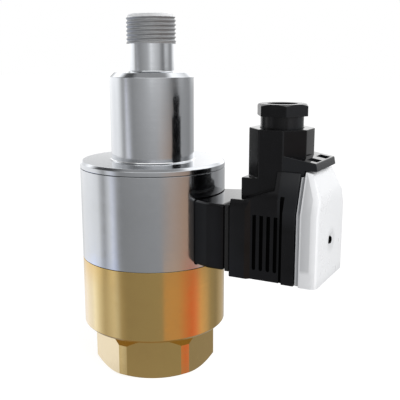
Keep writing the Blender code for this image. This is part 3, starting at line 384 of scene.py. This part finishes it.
def moulded_plastic(name, colour, lighter, roughness, gloss, painted_light_zone=None):
    """Moulded plastic with a fine grain and an uneven gloss. An optional mask gives where painted light
    makes it a lighter grey.
    """
    material, tree, shader = new_material(name)
    place = object_place(tree)
    grain_size = 0.35 * MM
    grain = noise(tree, place, scale=1.0 / grain_size, detail=2.0)
    waves = noise(tree, place, scale=160.0, detail=2.0)
    tint = blend_colours(tree, spread(tree, waves, 0.0, 1.0), colour, lighter)
    if painted_light_zone:
        # Painted light: a lighter grey where the mask says.
        painted_light_grey = (0.015, 0.016, 0.018)
        tint = blend_colours(tree, painted_light_zone(tree, place), tint, painted_light_grey)
    set_value(
        tree,
        shader,
        Base_Color=tint,
        Roughness=spread(tree, grain, roughness - 0.03, roughness + 0.05),
        Specular_IOR_Level=gloss,
        Normal=relief(tree, grain, 0.02),
    )
    return material


def cheek_painted_light(tree, place):
    """Upper part of the connector's cheeks beside the cover, which gets painted light."""
    depth = rising(tree, coordinate(tree, place, "X"), SHELL_LOW.x + 15.2 * MM, SHELL_LOW.x + 15.8 * MM)
    height = rising(tree, coordinate(tree, place, "Z"), SHELL_LOW.z + 17.0 * MM, SHELL_LOW.z + 22.5 * MM)
    return product(tree, depth, height)


def base_root_painted_light(tree, place):
    """Straight part of the terminal base, next to the barrel, which gets painted light."""
    reach = coordinate(tree, place, "X")
    return spread(tree, reach, 0.7, 0.0, start=AXIS_X + 27.2 * MM, end=AXIS_X + 28.0 * MM)


def rubber(name, colour, dusty, roughness=0.7):
    material, tree, shader = new_material(name)
    place = object_place(tree)
    dust = noise(tree, place, scale=260.0, detail=4.0, roughness=0.7)
    pores = noise(tree, place, scale=4200.0, detail=2.0)
    dusted = spread(tree, dust, 0.0, 1.0, start=0.45, end=0.8)
    set_value(
        tree,
        shader,
        Base_Color=blend_colours(tree, dusted, colour, dusty),
        Roughness=spread(tree, dust, roughness - 0.08, roughness + 0.12),
        Normal=relief(tree, pores, 0.25, depth=0.04 * MM),
    )
    return material


def frosted_plastic(name, light_and_shade_paint, roughness):
    """Milky plastic with a satin skin. Its colour comes from a function of painted light and shade,
    which changes over the piece.
    """
    material, tree, shader = new_material(name)
    place = object_place(tree)
    haze = noise(tree, place, scale=140.0, detail=3.0, roughness=0.6)
    set_value(
        tree,
        shader,
        Base_Color=light_and_shade_paint(tree, place),
        Roughness=spread(tree, haze, roughness, roughness + 0.08),
        IOR=1.49,
        Coat_Weight=0.3,
        Coat_Roughness=0.12,
    )
    return material


def cover_front_painted_shade(tree, place):
    """Front of the cover, with painted shade towards its foot and a soft painted shade round the screw's
    hole.
    """
    height = coordinate(tree, place, "Z")
    # Painted shade: darker towards the foot.
    foot = spread(tree, height, 0.5, 0.0, start=COVER_LOW.z + 0.5 * MM, end=COVER_LOW.z + 3.0 * MM)
    colour = blend_colours(tree, foot, (0.95, 0.96, 0.97), (0.78, 0.79, 0.80))
    # Painted shade round the screw's hole, where the screw behind would show through.
    hole = (COVER_HIGH.x, (SCREW_LOW.y + SCREW_HIGH.y) / 2, SCREW_HEIGHT)
    away = add(tree, "ShaderNodeVectorMath", {0: place, 1: hole}, operation="DISTANCE").outputs["Value"]
    return blend_colours(tree, falling(tree, away, 1.8 * MM, 4.6 * MM), colour, (0.76, 0.77, 0.78))


def cover_sides_painted_light(tree, place):
    """Side walls and lip of the cover, all in painted light and shade: darker towards the back and on
    the lip's upper half, with painted highlights along the edges and the foot.
    """
    reach = coordinate(tree, place, "X")
    height = coordinate(tree, place, "Z")
    back, front, foot = COVER_LOW.x, COVER_HIGH.x, COVER_LOW.z
    # Painted shade: darker towards the back of the side.
    back_to_front_shade = rising(tree, reach, back + 1.2 * MM, front - 2.0 * MM)
    side = blend_colours(tree, back_to_front_shade, (0.60, 0.61, 0.62), (0.72, 0.73, 0.74))
    # Painted highlight along the front edge.
    front_edge_highlight = rising(tree, reach, front - 2.4 * MM, front - 2.05 * MM)
    side = blend_colours(tree, front_edge_highlight, side, (0.95, 0.96, 0.97))
    # Painted light along the foot.
    foot_light_band = falling(tree, height, foot + 4.4 * MM, foot + 5.6 * MM)
    side = blend_colours(tree, foot_light_band, side, (0.92, 0.93, 0.94))
    # Painted highlight beside the lip.
    lip_line_highlight = falling(tree, reach, back + 1.5 * MM, back + 1.8 * MM)
    side = blend_colours(tree, lip_line_highlight, side, (0.88, 0.89, 0.90))
    # Painted shade on the lip's upper half.
    upper_lip_shade = rising(tree, height, foot + 21.0 * MM, foot + 23.0 * MM)
    lip = blend_colours(tree, upper_lip_shade, (0.44, 0.45, 0.46), (0.26, 0.27, 0.28))
    # Painted highlight along the lip's rear edge.
    rear_edge_highlight = falling(tree, reach, back + 0.25 * MM, back + 0.45 * MM)
    lip = blend_colours(tree, rear_edge_highlight, lip, (0.60, 0.61, 0.62))
    return blend_colours(tree, rising(tree, reach, back + 1.0 * MM, back + 1.25 * MM), lip, side)


def wound_copper(name):
    """Layers of enamelled wire, wound round the valve's axis, with painted shade in the grooves between
    the turns.
    """
    material, tree, shader = new_material(name)
    place = object_place(tree)
    wire_pitch = 0.42 * MM
    turns = compute(tree, "MULTIPLY", coordinate(tree, place, "Z"), math.tau / wire_pitch)
    wire_rows_and_groove_shade = rising(tree, compute(tree, "SINE", turns), -1.0, 1.0)
    set_value(
        tree,
        shader,
        # Painted shade: the colour darkens between the turns, and the bump gives the real rows.
        Base_Color=blend_colours(tree, wire_rows_and_groove_shade, (0.42, 0.16, 0.07), (0.78, 0.38, 0.20)),
        Metallic=1.0,
        Roughness=spread(tree, noise(tree, place, scale=500.0), 0.28, 0.42),
        Normal=relief(tree, wire_rows_and_groove_shade, 0.6, depth=0.1 * MM),
    )
    return material


# Materials

STEEL = turned_metal("turned_steel", (0.66, 0.68, 0.71), (0.61, 0.63, 0.65), 0.10, marks=0.14)
# Near-white copy of the turned steel: a painted highlight on the boss's foot.
FOOT_HIGHLIGHT_STEEL = turned_metal(
    "foot_painted_highlight", (0.98, 0.99, 1.0), (0.95, 0.96, 0.97), 0.10, marks=0.1, anisotropy=0.0
)
# Darker copy of the turned steel for the thread: painted shade, with a real rougher finish.
THREAD_SHADE_STEEL = turned_metal(
    "thread_painted_shade", (0.49, 0.50, 0.51), (0.44, 0.45, 0.46), 0.56, marks=0.1, anisotropy=0.0
)
# Near-white copy of the turned steel: a painted highlight on the stub's rim.
RIM_HIGHLIGHT_STEEL = turned_metal(
    "rim_painted_highlight", (0.96, 0.97, 0.98), (0.92, 0.93, 0.94), 0.62, marks=0.1, anisotropy=0.0
)
BRASS = turned_metal("turned_brass", (0.80, 0.55, 0.20), (0.74, 0.49, 0.18), 0.12, marks=0.14)
CORE = turned_metal("magnet_steel", (0.52, 0.52, 0.52), (0.44, 0.43, 0.42), 0.24, marks=0.25)
TUBE = turned_metal("drawn_tube", (0.62, 0.62, 0.64), (0.56, 0.56, 0.58), 0.2, marks=0.08)
SPRING = plain_metal("spring_wire", (0.60, 0.60, 0.62), (0.48, 0.48, 0.50), 0.25)
CONTACT = plain_metal("tinned_brass", (0.72, 0.66, 0.52), (0.62, 0.52, 0.34), 0.28)
ZINC = plain_metal("zinc_plate", (0.64, 0.65, 0.68), (0.55, 0.56, 0.60), 0.3)
COPPER = wound_copper("enamelled_wire")

COAL = (0.003, 0.003, 0.0035)
PALE_COAL = (0.005, 0.005, 0.006)
# The connector's black plastic, with painted light on the upper cheeks.
BLACK = moulded_plastic(
    "black_plastic", (0.0025, 0.0025, 0.003), PALE_COAL, 0.22, gloss=0.27, painted_light_zone=cheek_painted_light
)
# The coil moulding's black plastic, with painted light next to the barrel.
BASE_BLACK = moulded_plastic("coil_moulding", COAL, PALE_COAL, 0.34, gloss=0.2, painted_light_zone=base_root_painted_light)
DULL_BLACK = moulded_plastic("dull_plastic", COAL, PALE_COAL, 0.38, gloss=0.09)
POLISHED_BLACK = moulded_plastic("polished_plastic", COAL, PALE_COAL, 0.10, gloss=0.5)
# Near-black painted shade for the slots' floors and walls and for the sleeve in the cover's hole.
PAINTED_SHADE_BLACK = moulded_plastic(
    "recess_painted_shade", (0.001, 0.001, 0.001), (0.002, 0.002, 0.002), 0.5, gloss=0.03
)
GREY = moulded_plastic("grey_plastic", (0.24, 0.24, 0.25), (0.30, 0.30, 0.31), 0.42, gloss=0.5)
GASKET = rubber("gasket_rubber", (0.008, 0.008, 0.008), (0.016, 0.016, 0.016))
SEAL = rubber("seal_rubber", (0.016, 0.016, 0.017), (0.040, 0.040, 0.041), 0.6)
# Frosted plastic for the cover; both its colours hold painted light and shade.
CLEAR = frosted_plastic("frosted_plastic", cover_front_painted_shade, 0.26)
CLEAR_WALL = frosted_plastic("frosted_plastic_walls", cover_sides_painted_light, 0.28)


# Turned pieces

def stub_thread():
    """Rows of a rounded pipe thread round the stub, faded out at the foot and cut by the top chamfer."""
    pitch = 1.337 * MM
    crest = 8.3 * MM
    depth = 0.45 * MM
    roundness = 0.9
    run_out = 0.75 * MM
    chamfer = 1.1 * MM
    first = STUB_TOP - 0.1 * MM
    count = 112
    rows = []
    for index in range(count + 1):
        height = first - (first - NECK_TOP) * index / count

        def radius(angle, height=height):
            phase = (height - NECK_TOP) / pitch - angle / math.tau
            wave = 0.5 - 0.5 * math.cos(math.tau * phase)
            groove = depth * (1.0 - wave) ** roundness
            fade = min(1.0, max(0.0, (height - NECK_TOP) / run_out))
            below_chamfer = crest - max(0.0, height - (STUB_TOP - chamfer))
            return min(crest - groove * fade, below_chamfer)

        rows.append((radius, height))
    return rows


def build_top_cap():
    stub_end = 7.1 * MM
    neck = 7.6 * MM
    boss = 14.25 * MM
    boss_chamfer = 1.5 * MM
    lid_chamfer = 0.85 * MM
    rim = LID_BOTTOM - 0.1 * MM
    rim_radius = 22.8 * MM
    spigot = 22.2 * MM
    tube_hole_top = LID_BOTTOM + 8.0 * MM
    core_hole = 7.5 * MM
    core_hole_top = BOSS_TOP - 3.0 * MM
    bore = 4.5 * MM
    bore_chamfer = 0.5 * MM
    outline = [
        (stub_end, STUB_TOP),
        *stub_thread(),
        (neck, NECK_TOP),
        *fillet(neck, BOSS_TOP, 0.7 * MM),
        (boss - boss_chamfer, BOSS_TOP),
        (boss, BOSS_TOP - boss_chamfer),
        *fillet(boss, LID_TOP, 0.5 * MM, 6),
        (BARREL_RADIUS - lid_chamfer, LID_TOP),
        (BARREL_RADIUS, LID_TOP - lid_chamfer),
        (BARREL_RADIUS, rim),
        (rim_radius, rim),
        (rim_radius, LID_BOTTOM),
        (spigot, LID_BOTTOM),
        (spigot, CAP_BOTTOM),
        (TUBE_HOLE, CAP_BOTTOM),
        (TUBE_HOLE, tube_hole_top),
        (core_hole, tube_hole_top),
        (core_hole, core_hole_top),
        (bore, core_hole_top),
        (bore, STUB_TOP - bore_chamfer),
        (bore + bore_chamfer, STUB_TOP),
    ]
    piece = lathe("top_cap_turned", soften(outline, 0.10 * MM))
    smooth(piece, 50.0)
    return stands_for(piece, "top_cap", STEEL)


def build_coil_housing():
    bottom = HOUSING_BOTTOM - 0.05 * MM
    outline = [
        (BARREL_RADIUS, HOUSING_TOP),
        (BARREL_RADIUS, bottom),
        (HOUSING_BORE, bottom),
        (HOUSING_BORE, HOUSING_TOP),
    ]
    piece = lathe("coil_housing_turned", soften(outline, 0.08 * MM))
    inner, flare, outer = AXIS_X + 17.0 * MM, AXIS_X + 28.0 * MM, AXIS_X + 30.0 * MM
    narrow, wide = 9.475 * MM, 13.6 * MM
    gasket_low, gasket_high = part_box("connector_gasket")
    corners = [
        (inner, narrow), (inner, -narrow), (flare, -wide), (outer, -wide), (outer, wide), (flare, wide),
    ]
    window = prism("window", corners, gasket_low.z - GAP, gasket_high.z + GAP)
    bevel(window, 1.0 * MM, segments=4, angle=30.0)
    combine(piece, window, "DIFFERENCE")
    smooth(piece, 40.0)
    stands_for(piece, "coil_housing", STEEL)


def build_brass_body():
    rim = BRASS_TOP + 0.1 * MM
    chamfer = 0.9 * MM
    fitting_bore = 15.0 * MM
    fitting_bore_top = BRASS_TOP - 13.0 * MM
    chamber = 12.0 * MM
    chamber_top = BRASS_TOP - 4.2 * MM
    recess = BRASS_TOP - 2.0 * MM
    outline = [
        (BARREL_RADIUS, rim),
        (BARREL_RADIUS, BRASS_BOTTOM + chamfer),
        (BARREL_RADIUS - chamfer, BRASS_BOTTOM),
        (fitting_bore, BRASS_BOTTOM),
        (fitting_bore, fitting_bore_top),
        (chamber, fitting_bore_top),
        (chamber, chamber_top),
        (TUBE_HOLE, chamber_top),
        (TUBE_HOLE, recess),
        (HOUSING_BORE, recess),
        (HOUSING_BORE, rim),
    ]
    piece = lathe("brass_body_turned", soften(outline, 0.08 * MM))
    smooth(piece, 50.0)
    stands_for(piece, "brass_body", BRASS)


def build_hex_fitting():
    flat = 19.1 * MM
    corner = 21.2 * MM
    shoulder = SEAT - 1.0 * MM
    collar = 17.6 * MM
    spigot = 14.7 * MM
    spigot_top = NOZZLE_TOP - 2.0 * MM
    nozzle = 5.0 * MM
    orifice = 3.0 * MM
    port = 9.3 * MM
    port_chamfer = 1.2 * MM
    port_top = 13.5 * MM
    outline = [
        (nozzle, NOZZLE_TOP),
        (nozzle, spigot_top),
        (spigot, spigot_top),
        (spigot, SEAT),
        (collar, SEAT),
        *fillet(collar, shoulder, 0.3 * MM, 3),
        (flat, shoulder),
        (corner, shoulder - (corner - flat)),
        (corner, (corner - flat) * math.tan(math.radians(30.0))),
        (flat, 0.0),
        (port + port_chamfer, 0.0),
        (port, port_chamfer),
        (port, port_top),
        (orifice, port_top),
        (orifice, NOZZLE_TOP),
    ]
    piece = lathe("hex_fitting_turned", outline)
    reach = 2 * flat / math.sqrt(3.0)
    corners = []
    for number in range(6):
        angle = math.radians(30.0 + 60.0 * number)
        corners.append((AXIS_X + reach * math.cos(angle), reach * math.sin(angle)))
    combine(piece, prism("flats", corners, -3.0 * MM, 40.0 * MM), "INTERSECT")
    bevel(piece, 0.18 * MM, segments=2, angle=14.0)
    smooth(piece, 40.0)
    stands_for(piece, "hex_fitting", BRASS)


PIECES = {"top_cap": build_top_cap()}
build_coil_housing()
build_brass_body()
build_hex_fitting()

# Moulded pieces

MOULDED = (
    ("coil_encapsulation", "coil_moulding_fine", 0.12 * MM, BASE_BLACK),
    ("connector_gasket", "gasket_fine", 0.25 * MM, GASKET),
    ("connector_housing", "connector_housing_fine", 0.16 * MM, BLACK),
    ("connector_cover", "cover_fine", 0.12 * MM, CLEAR),
    ("gland_nut", "gland_nut_fine", 0.18 * MM, BLACK),
)
for node, name, width, material in MOULDED:
    PIECES[node] = refined(node, name, width, material)

# Finishes of some faces, picked by their middle and normal. Some are painted light and shade: near-black
# painted shade in the slots, painted light on the cover's walls, painted highlights on the stub's rim
# and the boss's foot, and painted shade on the thread.

SLOT_FLOOR = 11.6 * MM
SLOT_MOUTH = SHELL_HIGH.y - 1.3 * MM
RIM_BOTTOM = STUB_TOP - 1.3 * MM
FOOT_TOP = LID_TOP + 0.8 * MM


def in_slot(middle, normal):
    """Floors and upright walls of the slots in the housing's sides, which get near-black painted shade.
    """
    return SLOT_FLOOR < abs(middle.y) < SLOT_MOUTH and abs(normal.z) < 0.3


def upward(middle, normal):
    return normal.z > 0.7


def upward_or_tab_front(middle, normal):
    """Faces that look up, and the fronts from the tab upwards."""
    return normal.z > 0.7 or (normal.x > 0.7 and middle.z > TAB_BOTTOM)


def sideways(middle, normal):
    return abs(normal.y) > 0.9


# The thread, which gets painted shade.
def on_thread(middle, normal):
    return middle.z > NECK_TOP


# The stub's rim, which gets a painted highlight.
def on_stub_rim(middle, normal):
    return middle.z > RIM_BOTTOM and normal.z > 0.3


def on_boss_foot(middle, normal):
    """Middle of the fillet between the boss and the lid, which gets a painted highlight."""
    return 0.15 < normal.z < 0.6 and LID_TOP < middle.z < FOOT_TOP


def rear_corner(middle, normal):
    """Slanting faces that look sideways and back to the barrel."""
    return abs(normal.y) > 0.3 and normal.x < -0.3


def upper_front_corner(middle, normal):
    """Slanting faces that look sideways and forwards, from the tab upwards."""
    return abs(normal.y) > 0.5 and normal.x > 0.5 and middle.z > TAB_BOTTOM


FACE_FINISHES = (
    ("connector_housing", PAINTED_SHADE_BLACK, in_slot),
    ("coil_encapsulation", POLISHED_BLACK, upward),
    ("connector_housing", POLISHED_BLACK, upward_or_tab_front),
    ("connector_cover", CLEAR_WALL, sideways),
    ("top_cap", THREAD_SHADE_STEEL, on_thread),
    ("top_cap", RIM_HIGHLIGHT_STEEL, on_stub_rim),
    ("top_cap", FOOT_HIGHLIGHT_STEEL, on_boss_foot),
    ("connector_housing", DULL_BLACK, rear_corner),
    ("connector_housing", BASE_BLACK, upper_front_corner),
)
for node, material, wanted in FACE_FINISHES:
    mesh = PIECES[node].data
    mesh.materials.append(material)
    for face in mesh.polygons:
        if wanted(face.center, face.normal):
            face.material_index = len(mesh.materials) - 1

# Sleeve behind the cover's hole, in painted shade

def build_driver_guide():
    """A sleeve through which a driver reaches the screw; its near-black colour is painted shade that
    darkens the hole.
    """
    outer = 1.23 * MM
    mouth = 1.06 * MM
    lip = 1.00 * MM
    bore = 0.94 * MM
    mouth_end = COVER_HIGH.x - 0.06 * MM
    screw_end = SCREW_HIGH.x + 0.4 * MM
    outline = [
        (outer, COVER_HIGH.x - 0.50 * MM),
        (mouth, mouth_end),
        (lip, mouth_end),
        (bore, COVER_HIGH.x - 0.26 * MM),
        (bore, screw_end),
        (outer, screw_end),
    ]

    def locate(radius, along, angle):
        return along, radius * math.cos(angle), SCREW_HEIGHT + radius * math.sin(angle)

    guide = revolve("driver_guide_painted_shade", outline, locate, steps=48)
    guide.data.materials.append(PAINTED_SHADE_BLACK)
    smooth(guide, 40.0)
    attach(guide, BODY)


build_driver_guide()

# Inner parts keep their CAD shapes

FINISHES = {
    "guide_tube": TUBE,
    "fixed_core": CORE,
    "plunger": CORE,
    "lower_flux_plate": CORE,
    "return_spring": SPRING,
    "winding": COPPER,
    "bobbin": GREY,
    "contact_block": GREY,
    "plunger_seal": SEAL,
    "core_o_ring": SEAL,
    "tube_o_ring": SEAL,
    "fitting_o_ring": SEAL,
    "gland_seal": SEAL,
    "gland_washer": ZINC,
    "connector_screw": ZINC,
    "threaded_insert": CONTACT,
}
for pole in ("line", "neutral", "earth"):
    FINISHES[pole + "_pin"] = CONTACT
    FINISHES[pole + "_contact"] = CONTACT
    FINISHES[pole + "_terminal_screw"] = ZINC
for node, material in FINISHES.items():
    item = NODES[node]
    if not item.data.materials:
        item.data.materials.append(material)
    for index in range(len(item.material_slots)):
        item.material_slots[index].material = material


# Floor

def build_floor():
    """Pale paper. The camera sees it mixed with plain light, which lifts it towards white."""
    shape = bmesh.new()
    bmesh.ops.create_grid(shape, x_segments=4, y_segments=4, size=3.0)
    mesh = bpy.data.meshes.new("floor")
    shape.to_mesh(mesh)
    shape.free()
    floor = link("floor", mesh)
    floor.visible_glossy = False
    material, tree, shader = new_material("floor_paper")
    fibres = noise(tree, object_place(tree), scale=800.0)
    paper = blend_colours(tree, spread(tree, fibres, 0.0, 1.0), (0.82, 0.82, 0.82), (0.80, 0.80, 0.80))
    set_value(tree, shader, Base_Color=paper, Roughness=0.9)
    light = add(tree, "ShaderNodeEmission", {"Color": (*WHITE, 1.0), "Strength": 1.48}).outputs[0]
    light_share = 0.6
    parts = {0: light_share, 1: shader.outputs[0], 2: light}
    seen = add(tree, "ShaderNodeMixShader", parts).outputs[0]
    is_camera_ray = add(tree, "ShaderNodeLightPath").outputs["Is Camera Ray"]
    choices = {0: is_camera_ray, 1: shader.outputs[0], 2: seen}
    surface = add(tree, "ShaderNodeMixShader", choices).outputs[0]
    tree.links.new(surface, tree.nodes["Material Output"].inputs["Surface"])
    mesh.materials.append(material)


build_floor()

# Studio: light levels round the object at six heights. Each row gives an azimuth in
# degrees and the level there, as a grey or as red, green and blue.

LOW_WALL = (
    (-180, (1.0, 1.2, 1.9)), (-172, (1.15, 1.38, 2.1)), (-157, (0.75, 0.84, 1.1)),
    (-146, (0.5, 0.53, 0.62)), (-127, (0.72, 0.79, 1.02)), (-120, (0.62, 0.7, 0.95)), (-114, 0.4),
    (-104, 0.31), (-46, 0.33), (-43, (0.56, 0.39, 0.27)), (-20, (0.57, 0.38, 0.25)),
    (3, (0.68, 0.2, 0.13)), (12, (0.76, 0.3, 0.24)), (22, (0.74, 0.53, 0.4)), (34, (0.6, 0.5, 0.44)),
    (44, 0.35), (60, 0.28), (74, 0.45), (92, 0.55), (106, 0.5), (140, 1.0), (160, (1.1, 1.25, 1.7)),
)
MIDDLE_WALL = (
    (-180, 1.02), (-155, 0.92), (-149, 0.6), (-142, 0.41), (-131, 0.82), (-126, (0.88, 0.9, 1.0)),
    (-116, 0.38), (-110, 0.29), (-50, 0.35), (-30, (0.46, 0.36, 0.3)), (-9, (0.46, 0.31, 0.22)),
    (8, (0.42, 0.3, 0.24)), (25, 0.36), (60, 0.28), (74, 0.42), (95, 0.45), (112, 0.6), (130, 0.9),
    (146, 0.8), (156, 1.0),
)
HIGH_WALL = (
    (-180, 1.13), (-169, 1.2), (-160, 1.0), (-147, 0.5), (-142, 0.43), (-137, 0.58),
    (-132, (0.78, 0.78, 0.88)), (-127, 0.6), (-121, 0.42), (-113, 0.33), (-58, 0.57), (-38, 0.57),
    (-12, 0.36), (5, 0.12), (14, 0.12), (20, 0.32), (30, 0.4), (62, 0.33), (80, 0.52), (110, 0.6),
    (150, 1.27),
)
EYE_WALL = (
    (-180, 1.5), (-163, 1.2), (-156, 1.0), (-148, 0.42), (-139, 0.44), (-126, 0.30), (-114, 0.35),
    (-80, 0.51), (-70, 0.70), (-60, 1.05), (-40, 0.78), (-19, 0.57), (-8, 0.34), (3, 0.26), (16, 0.72),
    (29, 0.66), (45, 0.36), (60, 0.40), (68, 0.65), (80, 1.1), (150, 1.4),
)
UPPER_WALL = (
    (-180, 0.6), (-165, 0.5), (-150, 0.5), (-140, 0.6), (-126, 0.35), (-108, 0.18), (-28, 0.58),
    (7, 0.3), (45, 0.15), (60, 0.35), (72, 0.9), (80, 1.0), (100, 1.8), (112, 1.8), (118, 1.1),
    (125, 0.52), (136, 0.5), (147, 1.0), (165, 0.9),
)
TOP_WALL = (
    (-180, 0.08), (-166, 0.08), (-148, 0.28), (-110, 0.35), (0, 0.35), (24, 0.45), (34, 0.8),
    (42, 1.5), (65, 1.5), (84, 0.9), (93, 1.3), (106, 1.0), (120, 1.5), (163, 1.6), (169, 1.2),
    (173, 0.5), (177, 0.1),
)

# Each wall takes over from the one below it between two heights, given as sines of elevation. Both
# poles have a plain grey.

WALLS = (
    (-0.48, -0.43, LOW_WALL),
    (-0.325, -0.285, MIDDLE_WALL),
    (-0.21, -0.05, HIGH_WALL),
    (-0.04, 0.0, EYE_WALL),
    (0.09, 0.18, UPPER_WALL),
    (0.32, 0.45, TOP_WALL),
)
POLE_START, POLE_END = 0.87, 0.94
POLE_LIGHT = (0.35, 0.35, 0.35)
STRIP_LIGHT = (1.6, 1.6, 1.6)
SOFT_LIGHT = (0.36, 0.36, 0.37)


def wall(tree, azimuth, stops):
    """Light levels by azimuth, which runs from 0 to 1 and ends with the level it starts with."""
    ramp = add(tree, "ShaderNodeValToRGB", {0: azimuth})
    elements = ramp.color_ramp.elements
    while len(elements) < len(stops) + 1:
        elements.new(0.5)
    for element, (angle, level) in zip(elements, (*stops, (180, stops[0][1]))):
        element.position = (angle + 180.0) / 360.0
        colour = level if isinstance(level, tuple) else (level, level, level)
        element.color = (*colour, 1.0)
    return ramp.outputs["Color"]


def strip_light(tree, angle, rise):
    """Share of the long strip light, high up between -Y and +X, for the line at the boss's foot."""
    return product(
        tree,
        rising(tree, rise, 0.32, 0.38),
        falling(tree, rise, 0.70, 0.76),
        rising(tree, angle, math.radians(-116.0), math.radians(-108.0)),
        falling(tree, angle, math.radians(0.0), math.radians(10.0)),
    )


def build_world():
    """The walls show only in reflections. Dull surfaces get one soft level, and the camera white."""
    world = bpy.data.worlds.new("studio")
    bpy.context.scene.world = world
    world.use_nodes = True
    world.cycles.sampling_method = "NONE"
    tree = world.node_tree
    direction = add(tree, "ShaderNodeTexCoord").outputs["Generated"]
    parts = add(tree, "ShaderNodeSeparateXYZ", {"Vector": direction}).outputs
    angle = compute(tree, "ARCTAN2", parts["Y"], parts["X"])
    azimuth = rising(tree, angle, -math.pi, math.pi)
    rise = parts["Z"]
    light = POLE_LIGHT
    for start, end, stops in WALLS:
        light = blend_colours(tree, rising(tree, rise, start, end), light, wall(tree, azimuth, stops))
    light = blend_colours(tree, rising(tree, rise, POLE_START, POLE_END), light, POLE_LIGHT)
    light = blend_colours(tree, strip_light(tree, angle, rise), light, STRIP_LIGHT)
    path = add(tree, "ShaderNodeLightPath").outputs
    light = blend_colours(tree, path["Is Diffuse Ray"], light, SOFT_LIGHT)
    light = blend_colours(tree, path["Is Transmission Ray"], light, WHITE)
    light = blend_colours(tree, path["Is Camera Ray"], light, WHITE)
    background = tree.nodes["Background"]
    tree.links.new(light, background.inputs["Color"])
    background.inputs["Strength"].default_value = 1.0


def build_side_panel():
    """Soft lamp that lights the connector's front and isn't seen in reflections."""
    data = bpy.data.lights.new("side_panel", "AREA")
    data.shape = "SQUARE"
    data.size = 0.9
    data.energy = 10.5
    lamp = link("side_panel", data)
    place = Vector((1.03, -0.38, 0.56))
    target = Vector((0.0, 0.0, 0.05))
    lamp.location = place
    lamp.rotation_euler = (target - place).to_track_quat("-Z", "Y").to_euler()
    lamp.visible_glossy = False


def build_camera():
    """Camera at the photograph's angle."""
    down = 11.925
    heading = 27.783
    data = bpy.data.cameras.new("photo_view")
    data.sensor_fit = "HORIZONTAL"
    data.sensor_width = 36.0
    data.lens = 60.73
    data.clip_start = 0.01
    data.clip_end = 20.0
    camera = link("photo_view", data)
    camera.location = (AXIS_X + 0.12276, -0.19792, 0.10735)
    camera.rotation_euler = (math.radians(90.0 - down), 0.0, math.radians(heading))
    bpy.context.scene.camera = camera


build_world()
build_side_panel()
build_camera()
bpy.context.scene.view_settings.view_transform = "Standard"
